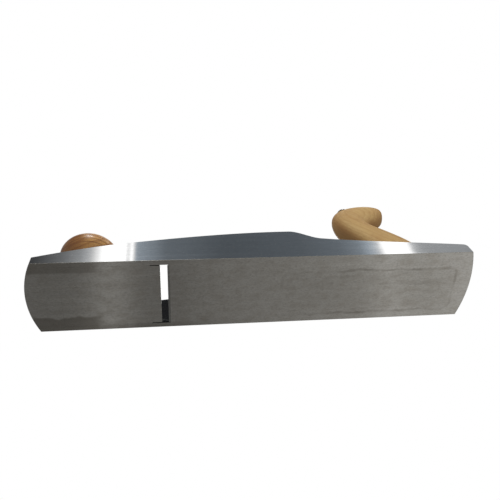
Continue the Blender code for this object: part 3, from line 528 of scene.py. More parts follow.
@dataclass(frozen=True)
class Wood:
    """Oiled beech: growth rings about a leaning pith line, drawn-out fibres and short dark flecks, with
    painted shade on one side and on the edges where asked.
    """

    name: str
    pale: Colour
    dark: Colour
    # colour of the flecks, and of the painted shade on one side
    fleck_and_shade: Colour
    worn_and_shade: Colour
    pith: Point
    lean: float
    ring: float
    ring_sway: float = 0.010
    contrast: float = 0.40
    edge_tone_and_shade: float = 0.0
    # share and reach of a painted shade that darkens one side of the form
    painted_side_shade: float = 0.0
    painted_side_shade_reach: tuple[float, float] = (-0.008, 0.026)
    turned_lines: float = 0.0
    gloss: float = 0.22
    roughness: float = 0.40

    def make(self) -> Look:
        """Builds the material.

        Returns:
            The material.
        """
        finish = Finish(self.name)
        base = finish.graph
        rotation = (0.0, self.lean, 0.0)
        leant = base.node("ShaderNodeMapping", base.place, self.pith, rotation, vector_type="TEXTURE")
        graph = Graph(base.tree, leant.outputs[0])
        # local Z runs along the fibres
        sway = graph.noise((16.0, 16.0, 5.0), 2.0)
        across_x, across_y, _ = graph.split(graph.place)
        squares = [graph.math("POWER", part, 2.0) for part in (across_x, across_y)]
        radius = graph.math("SQRT", graph.math("ADD", *squares))
        swayed = graph.math("ADD", radius, graph.math("MULTIPLY", sway, self.ring_sway))
        late = graph.math("POWER", graph.math("FRACT", graph.math("DIVIDE", swayed, self.ring)), 3.0)
        fibres = graph.noise((900.0, 900.0, 26.0), 3.0, 0.6)
        broad = graph.noise((70.0, 70.0, 7.0), 3.0, 0.55)
        flecks = graph.rise(graph.noise((1500.0, 1500.0, 190.0), 1.0), 0.66, 0.74)
        tone = graph.blend(graph.math("MULTIPLY", late, self.contrast), self.pale, self.dark)
        tone = graph.blend(graph.remap(broad, 0.38, 0.72, 0.0, 0.55), tone, self.dark)
        tone = graph.blend(graph.remap(fibres, 0.42, 0.7, 0.0, 0.30), tone, self.dark)
        tone = graph.blend(graph.math("MULTIPLY", flecks, 0.55), tone, self.fleck_and_shade)
        if self.turned_lines:
            rings = graph.noise((14.0, 14.0, 620.0), 3.0, 0.6)
            tone = graph.blend(graph.remap(rings, 0.45, 0.7, 0.0, self.turned_lines), tone, self.fleck_and_shade)
        patches = graph.noise((45.0, 45.0, 30.0), 3.0, 0.6)
        tone = graph.blend(graph.remap(patches, 0.45, 0.75, 0.0, 0.35), tone, self.worn_and_shade)
        # partly edge-grain tone and partly painted shade: faces that don't face sideways turn darker and
        # redder, towards the worn colour
        _, side, _ = graph.split(graph.node("ShaderNodeNewGeometry").outputs["Normal"])
        edge_tone_and_shade_share = graph.remap(graph.math("ABSOLUTE", side), 0.92, 0.35, 0.0, self.edge_tone_and_shade)
        tone = graph.blend(edge_tone_and_shade_share, tone, self.worn_and_shade)
        # painted shade: the form darkens towards one side, in the fleck colour, standing in for the
        # shade there
        if self.painted_side_shade:
            shaded = graph.remap(across_x, *self.painted_side_shade_reach, 0.0, self.painted_side_shade)
            tone = graph.blend(shaded, tone, self.fleck_and_shade)
        rough = graph.remap(fibres, 0.3, 0.7, self.roughness - 0.06, self.roughness + 0.08)
        finish.set(Base_Color=tone, Roughness=rough, Metallic=0.0, Specular_IOR_Level=self.gloss)
        finish.bump((broad, 0.00008), (fibres, 0.00003))
        return finish.material


class Finishes:
    """Every finish of the plane, each made once."""

    def __init__(self) -> None:
        """Makes the materials."""
        ground = (0.300, 0.294, 0.284)
        stain = (0.185, 0.165, 0.140)
        self.ground = GroundMetal("iron_ground", ground, stain).make()
        self.sole = SoleMetal(
            "iron_sole", ground, stain, roughness=0.21, stain_share=0.5, brushed=0.9, speckle=0.6
        ).make()
        cheek = (0.300, 0.300, 0.300)
        cheek_stain = (0.24, 0.24, 0.24)
        self.cheek = GroundMetal(
            "iron_cheek", cheek, cheek_stain, roughness=0.06, stain_share=0.25, line_depth=3e-7
        ).make()
        arris = (0.29, 0.285, 0.275)
        self.arris = GroundMetal("iron_arris", arris, ground, roughness=0.5, stain_share=0.2).make()
        self.tool = GroundMetal(
            "steel_ground", (0.36, 0.36, 0.37), (0.24, 0.22, 0.20), Axis.Y, 0.28, 0.35
        ).make()
        # the iron's flat back is painted nearly black, standing in for the shade in the gap at the mouth
        self.lapped_painted_shade = GroundMetal(
            "steel_lapped_painted_shade", (0.098, 0.098, 0.096), (0.08, 0.077, 0.073), Axis.Y, 0.30, 0.3
        ).make()
        self.bright = TurnedMetal("steel_turned", (0.45, 0.45, 0.46), (0.30, 0.285, 0.26)).make()
        cap_stain = (0.17, 0.16, 0.15)
        self.cap = GroundMetal("iron_cap", (0.26, 0.26, 0.27), cap_stain, Axis.X, 0.34, 0.4).make()
        self.brass = TurnedMetal("brass_turned", (0.66, 0.46, 0.17), (0.40, 0.25, 0.09)).make()
        # near-black brass for the tote nut: painted shade where it sits down in its hole
        self.nut_painted_shade = TurnedMetal("brass_nut_painted_shade", (0.085, 0.058, 0.026), (0.045, 0.031, 0.016), 0.46).make()
        self.enamel = Enamel().make()
        blank = {"pith": (-0.190, 0.060, 0.0), "lean": math.radians(38.0), "ring": 0.0027}
        self.tote = Wood(
            "beech_tote",
            pale=(0.427, 0.290, 0.126),
            dark=(0.29, 0.170, 0.069),
            fleck_and_shade=(0.17, 0.086, 0.036),
            worn_and_shade=(0.27, 0.132, 0.052),
            **blank,
            # edge tone and painted shade on the handle's front, back and edges
            edge_tone_and_shade=0.55,
            gloss=0.07,
            roughness=0.55,
        ).make()
        # near-black wood for the bore's walls: painted shade in the hole
        self.bore_painted_shade = Wood(
            "beech_bore_painted_shade",
            pale=(0.050, 0.028, 0.014),
            dark=(0.028, 0.016, 0.009),
            fleck_and_shade=(0.020, 0.011, 0.007),
            worn_and_shade=(0.040, 0.020, 0.010),
            **blank,
            gloss=0.05,
            roughness=0.6,
        ).make()
        self.knob = Wood(
            "beech_knob",
            pale=(0.48, 0.262, 0.086),
            dark=(0.20, 0.074, 0.019),
            fleck_and_shade=(0.105, 0.034, 0.010),
            worn_and_shade=(0.25, 0.088, 0.024),
            pith=(0.131, -0.006, 0.0),
            lean=0.0,
            ring=0.0030,
            contrast=0.75,
            # painted shade darkens the knob's toe side
            painted_side_shade=0.66,
            gloss=0.37,
            roughness=0.29,
            turned_lines=0.7,
        ).make()


# Meshes


def new_piece(name: str, data: bpy.types.ID) -> Piece:
    """Puts a mesh, camera or lamp into the scene.

    Args:
        name: The object's name.
        data: Its mesh, camera or lamp.

    Returns:
        The object.
    """
    made = bpy.data.objects.new(name, data)
    bpy.context.scene.collection.objects.link(made)
    return made


@contextmanager
def opened(mesh: bpy.types.Mesh) -> Iterator[bmesh.types.BMesh]:
    """Opens a mesh for editing and writes it back after.

    Args:
        mesh: The mesh.

    Yields:
        Its editable form.
    """
    work = bmesh.new()
    work.from_mesh(mesh)
    yield work
    work.to_mesh(mesh)
    work.free()


def mesh_of(
    name: str, points: Sequence[Sequence[float]], faces: Sequence[Sequence[int]]
) -> bpy.types.Mesh:
    """Makes a mesh with its faces turned outwards.

    Args:
        name: The mesh's name.
        points: Corner points.
        faces: Faces as numbers of points.

    Returns:
        The mesh.
    """
    mesh = bpy.data.meshes.new(name)
    mesh.from_pydata([tuple(point) for point in points], [], [tuple(face) for face in faces])
    with opened(mesh) as work:
        bmesh.ops.recalc_face_normals(work, faces=work.faces)
    return mesh


def shade(piece: Piece, angle: float) -> None:
    """Shades a piece smooth; edges sharper than the angle, in degrees, stay sharp."""
    piece.data.shade_smooth()
    piece.data.set_sharp_from_angle(angle=math.radians(angle))


def soften(piece: Piece, width: float, segments: int = 2, slot: int = -1) -> None:
    """Rounds a piece's sharp edges.

    Args:
        piece: The object.
        width: Width of the rounding.
        segments: Faces across it.
        slot: Number of the material slot of the rounding, or -1 for its neighbours'.
    """
    piece.data.shade_smooth()
    edge = piece.modifiers.new("edges", "BEVEL")
    edge.width = width
    edge.segments = segments
    edge.limit_method = "ANGLE"
    edge.angle_limit = SHARP
    edge.use_clamp_overlap = False
    edge.material = slot
    weight = piece.modifiers.new("normals", "WEIGHTED_NORMAL")
    weight.keep_sharp = True
    weight.weight = 60


def weigh_edges(piece: Piece, pick: Callable[[Vector], float]) -> None:
    """Sets how much of the rounding each sharp edge takes.

    Args:
        piece: The object.
        pick: Tells the share of the width from an edge's middle.
    """
    with opened(piece.data) as work:
        layer = work.edges.layers.float.new("bevel_weight_edge")
        for edge in work.edges:
            if len(edge.link_faces) == 2 and edge.calc_face_angle(0.0) > SHARP:
                edge[layer] = pick((edge.verts[0].co + edge.verts[1].co) / 2.0)
                edge.smooth = edge[layer] > 0.0
    piece.modifiers["edges"].limit_method = "WEIGHT"


def cad_points(node: str) -> np.ndarray:
    """Corner points of a CAD node, one row for each."""
    return np.array([tuple(vertex.co) for vertex in frame["nodes"][node].data.vertices])


def cad_copy(node: str, name: str) -> Piece:
    """A copy of a CAD node with its flat faces made whole again.

    Args:
        node: The node's name.
        name: The copy's name.

    Returns:
        The copy.
    """
    mesh = frame["nodes"][node].data.copy()
    mesh.name = name
    mesh.materials.clear()
    with opened(mesh) as work:
        bmesh.ops.remove_doubles(work, verts=work.verts, dist=MERGE)
        bmesh.ops.dissolve_limit(work, angle_limit=FLAT, verts=work.verts, edges=work.edges)
    if "custom_normal" in mesh.attributes:
        mesh.attributes.remove(mesh.attributes["custom_normal"])
    return new_piece(name, mesh)


def paint(piece: Piece, *looks: Look) -> Piece:
    """Gives a piece its materials.

    Args:
        piece: The object.
        looks: Materials, in the order of its slots.

    Returns:
        The object.
    """
    piece.data.materials.clear()
    for look in looks:
        piece.data.materials.append(look)
    return piece


def place(piece: Piece, body: str, node: str, slot: Slot) -> None:
    """Lets a piece stand for a CAD node and move with its body.

    Args:
        piece: The object.
        body: The body that it moves with.
        node: The node that it stands for.
        slot: Its slot in the record; not used.
    """
    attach(piece, body)
    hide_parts(node)
    LOG.info("%s stands for %s on %s", piece.name, node, body)


def dress(node: str, body: str, slot: Slot, look: Look, edge: float) -> None:
    """Lets a copy of a CAD node with softened edges stand for it.

    Args:
        node: The node's name.
        body: The body that it moves with.
        slot: Its slot in the record.
        look: Its material.
        edge: Width of the rounding.
    """
    piece = paint(cad_copy(node, node + "_finished"), look)
    soften(piece, edge)
    place(piece, body, node, slot)


def sort_faces(piece: Piece, pick: Callable[[Vector, Vector], int]) -> None:
    """Gives each face the slot's number that pick tells from its middle and normal."""
    for face in piece.data.polygons:
        face.material_index = pick(face.center, face.normal)


def joint_of(name: str) -> dict:
    """The frame's entry of a joint."""
    return next(item for item in frame["joints"] if item["name"] == name)


def joint_frame(name: str) -> Matrix:
    """Frame of a hinge, with local Z along its axis.

    Args:
        name: The joint's name.

    Returns:
        The frame.
    """
    joint = joint_of(name)
    turn = Vector(joint["axis"]).to_track_quat("Z", "Y").to_matrix().to_4x4()
    return Matrix.Translation(joint["pos_m"]) @ turn


def extent(node: str, axis: Matrix) -> tuple[float, float, float]:
    """Reach of a CAD node along and about an axis.

    Args:
        node: The node's name.
        axis: Frame with local Z along the axis.

    Returns:
        Lowest and highest place on the axis, and the largest radius.
    """
    into = axis.inverted()
    local = cad_points(node) @ np.array(into.to_3x3()).T + np.array(into.translation)
    radius = np.hypot(local[:, 0], local[:, 1]).max()
    return float(local[:, 2].min()), float(local[:, 2].max()), float(radius)


def turned(
    name: str,
    profile: Outline,
    steps: int,
    axis: Matrix,
    relief: Relief | None = None,
    cut_rows: Sequence[int] = (),
) -> Piece:
    """A turned form about local Z.

    Args:
        name: The piece's name.
        profile: Radius and height from one end to the other; radius 0 closes an end, and without it the
            form is a closed ring.
        steps: Corners around.
        axis: Frame of the form.
        relief: Depth under the surface by turn and height, for the rows named by cut_rows.
        cut_rows: Numbers of the profile points that take the relief.

    Returns:
        The piece.
    """
    points: list[Point] = []
    rings: list[list[int]] = []
    for number, (radius, height) in enumerate(profile):
        if radius <= 0.0:
            rings.append([len(points)] * steps)
            points.append((0.0, 0.0, height))
            continue
        rings.append(list(range(len(points), len(points) + steps)))
        for step in range(steps):
            turn = 2.0 * math.pi * step / steps
            depth = relief(turn, height) if relief and number in cut_rows else 0.0
            points.append(((radius - depth) * math.cos(turn), (radius - depth) * math.sin(turn), height))
    capped = profile[0][0] <= 0.0
    faces = []
    for number in range(len(rings) - 1 if capped else len(rings)):
        one, two = rings[number], rings[(number + 1) % len(rings)]
        for step in range(steps):
            after = (step + 1) % steps
            corners = (one[step], two[step], two[after], one[after])
            faces.append(tuple(dict.fromkeys(corners)))
    made = new_piece(name, mesh_of(name, points, faces))
    made.data.transform(axis)
    return made


def smooth_line(points: Sequence[Sequence[float]], parts: int) -> list[tuple[float, ...]]:
    """A smooth curve through points of any number of coordinates.

    Args:
        points: The points.
        parts: Steps between two of them.

    Returns:
        Points along the curve, both ends included.
    """
    rows = np.array(points, float)
    line = []
    last = len(rows) - 1
    for number in range(last):
        before = rows[max(number - 1, 0)]
        after = rows[min(number + 2, last)]
        start, end = rows[number], rows[number + 1]
        for part in range(parts):
            t = part / parts
            bend = 2.0 * start + (end - before) * t
            bend += (2.0 * before - 5.0 * start + 4.0 * end - after) * t**2
            bend += (3.0 * start - before - 3.0 * end + after) * t**3
            line.append(tuple(0.5 * bend))
    line.append(tuple(rows[last]))
    return line


@dataclass(frozen=True)
class Knurl:
    """A knurled rim: crossed spiral grooves that leave small diamonds, between two chamfers."""

    teeth: int
    rows: int
    low: float
    high: float
    margin: float
    depth: float = 0.0005
    pitch: float = 0.0016
    chamfer: float = 0.0012
    corner: float = 0.0005
    corner_rise: float = 0.0003

    def relief(self, turn: float, height: float) -> float:
        """Depth of the pattern.

        Args:
            turn: Angle about the axis.
            height: Place along the axis.

        Returns:
            Depth under the rim.
        """
        around = self.teeth * turn / (2.0 * math.pi)
        along = (height - (self.low + self.high) / 2.0) / self.pitch
        groove = max(abs(2.0 * ((around + sign * along) % 1.0) - 1.0) for sign in (0.5, -0.5))
        return self.depth * groove**2

    def wheel(
        self, name: str, radius: float, before: Outline, after: Outline, axis: Matrix
    ) -> Piece:
        """Turns a wheel with this rim.

        Args:
            name: The piece's name.
            radius: Radius over the knurl.
            before: Radius and height of the points that lead up to the rim.
            after: Those that follow it.
            axis: Frame with local Z along the wheel's axis.

        Returns:
            The wheel.
        """
        length = self.high - self.low - 2.0 * self.margin
        rim = [(radius - self.chamfer, self.low), (radius - self.corner, self.low + self.corner_rise)]
        for row in range(self.rows + 1):
            rim.append((radius, self.low + self.margin + length * row / self.rows))
        rim += [(radius - self.corner, self.high - self.corner_rise), (radius - self.chamfer, self.high)]
        start = len(before) + 2
        cut_rows = range(start, start + self.rows + 1)
        return turned(name, [*before, *rim, *after], 4 * self.teeth, axis, self.relief, cut_rows)


@dataclass(frozen=True)
class Thread:
    """A screw thread, as relief on a turned form."""

    pitch: float
    depth: float
    sides: int = 28
    rows_per_turn: float = 6.0

    def relief(self, turn: float, height: float) -> float:
        """Depth of the thread under its crest."""
        wave = (height / self.pitch - turn / (2.0 * math.pi)) % 1.0
        return self.depth * abs(2.0 * wave - 1.0)

    def rod(self, name: str, radius: float, low: float, high: float, axis: Matrix) -> Piece:
        """A threaded rod with chamfered ends.

        Args:
            name: The piece's name.
            radius: Radius over the crests.
            low: Lower end on the axis.
            high: Upper end on the axis.
            axis: Frame with local Z along the rod.

        Returns:
            The rod.
        """
        rows = max(2, round((high - low) / self.pitch * self.rows_per_turn))
        chamfer = self.depth
        core = radius - self.depth
        profile = [(0.0, low), (core, low)]
        for row in range(rows + 1):
            profile.append((radius, low + chamfer + (high - low - 2.0 * chamfer) * row / rows))
        profile += [(core, high), (0.0, high)]
        return turned(name, profile, self.sides, axis, self.relief, range(2, rows + 3))


# Sub-assemblies


@dataclass
class Casting:
    """The body and its sliding toe plate: ground outside, enamelled inside."""

    looks: Finishes
    arris: float = 0.00020
    fine_share: float = 0.15
    seam_fill: float = 0.00006
    skin: float = 0.0004
    cheek_thickness: float = 0.0041
    bed_slope: float = 0.15
    mouth_height: float = 0.0040
    mouth_front: float = 0.0760
    lip_edge: float = 0.06678
    lip_tip: float = 0.0702
    toe_reach: float = 0.010
    heel_reach: float = 0.007
    end_reach: float = 0.016

    def __post_init__(self) -> None:
        """Takes the casting's box from the frame."""
        self.low, self.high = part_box("body")
        self.inner = self.high.y - self.cheek_thickness + self.skin

    def build(self) -> None:
        """Dresses the body and the plate."""
        looks = self.looks
        body = cad_copy("body", "casting")
        paint(body, looks.sole, looks.cheek, looks.ground, looks.enamel, looks.arris)
        sort_faces(body, self.look)
        self.thin_lip(body)
        soften(body, self.arris, 2, Coat.ARRIS)
        weigh_edges(body, self.share)
        place(body, "plane_body", "body", Slot.GROUND)
        plate = paint(cad_copy("toe_plate", "toe_shoe"), looks.sole)
        self.close_seam(plate)
        soften(plate, self.arris, 1)
        weigh_edges(plate, lambda middle: 0.0 if middle.z < self.skin else 1.0)
        place(plate, "toe_plate", "toe_plate", Slot.GROUND)

    def look(self, middle: Vector, normal: Vector) -> Coat:
        """Finish of a face of the casting.

        Args:
            middle: The face's middle.
            normal: Its normal.

        Returns:
            The finish.
        """
        if normal.z < -0.9 and middle.z < self.low.z + self.skin:
            return Coat.SOLE
        if abs(normal.y) > 0.9 and abs(middle.y) > self.inner:
            return Coat.CHEEK
        near_end = middle.x > self.high.x - self.toe_reach or middle.x < self.low.x + self.heel_reach
        at_end = near_end and abs(normal.z) < 0.5
        at_mouth = middle.z < self.mouth_height and middle.x < self.mouth_front
        on_bed = at_mouth or (normal.x > self.bed_slope and normal.z > 0.9)
        bare = at_end or on_bed or abs(middle.y) > self.inner
        return Coat.GROUND if bare else Coat.ENAMEL

    def share(self, middle: Vector) -> float:
        """Share of the rounding that an edge of the casting takes.

        Args:
            middle: The edge's middle.

        Returns:
            The share.
        """
        at_end = middle.x > self.high.x - self.end_reach or middle.x < self.low.x + self.end_reach
        at_outline = at_end or abs(middle.y) > self.inner
        at_opening = middle.z < self.skin and not at_outline
        return 1.0 if at_outline else 0.0 if at_opening else self.fine_share

    def thin_lip(self, body: Piece) -> None:
        """Draws the bed's blunt front out to a thin lip under the iron.

        Args:
            body: The casting.
        """
        for vertex in body.data.vertices:
            if vertex.co.z < self.skin and abs(vertex.co.x - self.lip_edge) < self.skin:
                vertex.co.x = self.lip_tip

    def close_seam(self, plate: Piece) -> None:
        """Grows the plate's front and sides into most of the gap around it.

        Args:
            plate: The plate.
        """
        _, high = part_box("toe_plate")
        for vertex in plate.data.vertices:
            if vertex.co.x > high.x - self.skin:
                vertex.co.x += self.seam_fill
            if abs(vertex.co.y) > high.y - self.skin:
                vertex.co.y += math.copysign(self.seam_fill, vertex.co.y)


@dataclass
class MouthGear:
    """What moves and clamps the toe plate."""

    looks: Finishes
    edge: float = 0.00025
    thread: Thread = Thread(0.00125, 0.0006)

    def build(self) -> None:
        """Dresses the lever, pin and washer and threads the stud."""
        for node, body in (
            ("mouth_lever", "mouth_lever"),
            ("mouth_lever_pivot", "plane_body"),
            ("clamp_washer", "toe_plate"),
        ):
            dress(node, body, Slot.BRIGHT, self.looks.bright, self.edge)
        axis = joint_frame("knob_turn")
        low, high, radius = extent("knob_stud", axis)
        stud = self.thread.rod("knob_stud_threaded", radius, low, high, axis)
        shade(stud, 40.0)
        place(paint(stud, self.looks.bright), "toe_plate", "knob_stud", Slot.BRIGHT)


@dataclass
class FrontKnob:
    """The turned front knob with its brass bush."""

    looks: Finishes
    steps: int = 96
    height: float = 0.0480
    foot_radius: float = 0.0150
    foot_band: float = 0.0024
    waist_radius: float = 0.0118
    waist_height: float = 0.0120
    rim_radius: float = 0.0244
    rim_height: float = 0.0358
    flare_power: float = 0.92
    foot_edge: float = 0.0004
    bush_edge: float = 0.0003
    foot_steps: int = 12
    flare_steps: int = 24
    crown_steps: int = 24

    def build(self) -> None:
        """Turns the knob finer than its solid and dresses the bush."""
        low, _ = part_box("front_knob")
        axis = joint_frame("knob_turn")
        base = low.z - axis.translation.z
        local = cad_points("front_knob") - np.array(axis.translation)
        radius = np.hypot(local[:, 0], local[:, 1])
        bore = float(radius[np.abs(local[:, 2] - base) < TOUCH].min())
        depth = float(local[np.abs(radius - bore) < TOUCH][:, 2].max())
        profile = [(0.0, depth), (bore, depth), (bore, base)]
        profile += [(wide, base + height) for wide, height in self.outline()]
        knob = turned("knob_turned", profile, self.steps, axis)
        shade(knob, 40.0)
        place(paint(knob, self.looks.knob), "front_knob", "front_knob", Slot.BEECH)
        dress("knob_bush", "front_knob", Slot.BRASS, self.looks.brass, self.bush_edge)

    def outline(self) -> list[tuple[float, float]]:
        """Outer line from the foot over the waist and the rim to the top.

        Returns:
            Radius and height above the foot.
        """
        line = [(self.foot_radius - self.foot_edge, 0.0), (self.foot_radius, self.foot_edge)]
        for step in range(self.foot_steps + 1):
            t = step / self.foot_steps
            share = 1.0 - math.sin(t * math.pi / 2.0)
            height = self.foot_band + (self.waist_height - self.foot_band) * t
            line.append((self.waist_radius + (self.foot_radius - self.waist_radius) * share, height))
        for step in range(1, self.flare_steps + 1):
            t = step / self.flare_steps
            share = 0.5 - 0.5 * math.cos(math.pi * t**self.flare_power)
            wide = self.waist_radius + (self.rim_radius - self.waist_radius) * share
            line.append((wide, self.waist_height + (self.rim_height - self.waist_height) * t))
        for step in range(1, self.crown_steps):
            turn = 0.5 * math.pi * step / self.crown_steps
            rise = (self.height - self.rim_height) * math.sin(turn)
            line.append((self.rim_radius * math.cos(turn), self.rim_height + rise))
        line.append((0.0, self.height))
        return line


@dataclass
class CuttingIron:
    """The bevel up iron."""

    looks: Finishes
    edge: float = 0.00006
    settle: float = 0.00019

    def build(self) -> None:
        """Dresses the iron."""
        # the flat back takes the nearly black painted shade
        iron = paint(cad_copy("iron", "iron_ground"), self.looks.tool, self.looks.lapped_painted_shade)
        self.seat(iron)
        sort_faces(iron, lambda middle, normal: 1 if normal.z < -0.9 else 0)
        soften(iron, self.edge)
        place(iron, "iron", "iron", Slot.TOOL)

    def seat(self, iron: Piece) -> None:
        """Lets the flat back come closer to the bed than the solid's gap.

        Args:
            iron: The iron.
        """
        way = Vector(joint_of("iron_feed")["axis"])
        off_bed = Vector((-way.z, 0.0, way.x)).normalized()
        heights = [vertex.co.dot(off_bed) for vertex in iron.data.vertices]
        back = min(heights)
        for vertex, height in zip(iron.data.vertices, heights):
            if height < back + 2.0 * TOUCH:
                vertex.co -= off_bed * self.settle


@dataclass
class DepthAdjuster:
    """The knurled depth wheel on its threaded stud, with a lock nut."""

    looks: Finishes
    teeth: int = 44
    rows: int = 16
    rim_margin: float = 0.0009
    wheel_half: float = 0.0045
    bore: float = 0.00315
    recess_depth: float = 0.0012
    recess_width: float = 0.0022
    recess_slope: float = 0.0004
    sleeve_radius: float = 0.0060
    sleeve_start: float = 0.0009
    sleeve_end: float = 0.0004
    flange_radius: float = 0.0106
    flange_thickness: float = 0.0020
    edge: float = 0.0003
    thread: Thread = Thread(0.0010, 0.00045)

    def build(self) -> None:
        """Builds the wheel and the stud and dresses the nut."""
        axis = joint_frame("depth_wheel_turn")
        wheel = self.wheel(*extent("depth_wheel", axis), axis)
        shade(wheel, 30.0)
        place(paint(wheel, self.looks.brass), "depth_wheel", "depth_wheel", Slot.BRASS)
        low, high, radius = extent("depth_stud", axis)
        stud = self.thread.rod("depth_stud_threaded", radius, low, high, axis)
        shade(stud, 40.0)
        place(paint(stud, self.looks.bright), "plane_body", "depth_stud", Slot.BRIGHT)
        dress("depth_lock_nut", "plane_body", Slot.BRIGHT, self.looks.bright, self.edge)

    def wheel(self, low: float, high: float, radius: float, axis: Matrix) -> Piece:
        """Turns the wheel with its sleeve and flange.

        Args:
            low: Rear end on the axis.
            high: Front end on the axis.
            radius: Radius over the knurl.
            axis: Frame with local Z towards the toe.

        Returns:
            The wheel.
        """
        top = low + 2.0 * self.wheel_half
        floor = low + self.recess_depth
        wall = self.bore + self.recess_width
        recess = [(self.bore, floor), (wall, floor), (wall + self.recess_slope, low)]
        sleeve = self.sleeve_radius
        flange = high - self.flange_thickness
        brim = self.flange_radius - self.edge
        front = [(sleeve + self.sleeve_start, top), (sleeve, top + self.sleeve_start)]
        front += [(sleeve, flange - self.sleeve_end), (sleeve + self.sleeve_end, flange)]
        front += [(brim, flange), (self.flange_radius, flange + self.edge)]
        front += [(self.flange_radius, high - self.edge), (brim, high), (self.bore, high)]
        knurl = Knurl(self.teeth, self.rows, low, top, self.rim_margin)
        return knurl.wheel("depth_wheel_knurled", radius, recess, front, axis)


@dataclass
class LeverCap:
    """The lever cap with its screw, and the knurled wheel that clamps it."""

    looks: Finishes
    edge: float = 0.0007
    hole_share: float = 0.15
    rim_share: float = 0.55
    screw_edge: float = 0.0002
    teeth: int = 50
    rows: int = 10
    rim_margin: float = 0.0008
    bore: float = 0.00315

    def build(self) -> None:
        """Dresses cap and screws and turns the wheel."""
        cap = paint(cad_copy("lever_cap", "lever_cap_finished"), self.looks.cap)
        soften(cap, self.edge, 3)
        rim = self.rim_share * max(abs(corner.y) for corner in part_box("lever_cap"))
        weigh_edges(cap, lambda middle: 1.0 if abs(middle.y) > rim else self.hole_share)
        place(cap, "lever_cap", "lever_cap", Slot.CAP)
        dress("lever_cap_screw", "plane_body", Slot.BRIGHT, self.looks.bright, self.screw_edge)
        axis = joint_frame("cap_wheel_turn")
        low, high, radius = extent("cap_wheel", axis)
        knurl = Knurl(self.teeth, self.rows, low, high, self.rim_margin)
        ends = [(self.bore, low)], [(self.bore, high)]
        wheel = knurl.wheel("cap_wheel_knurled", radius, *ends, axis)
        shade(wheel, 30.0)
        place(paint(wheel, self.looks.brass), "cap_wheel", "cap_wheel", Slot.BRASS)
        dress("cap_wheel_screw", "cap_wheel", Slot.BRIGHT, self.looks.bright, self.screw_edge)


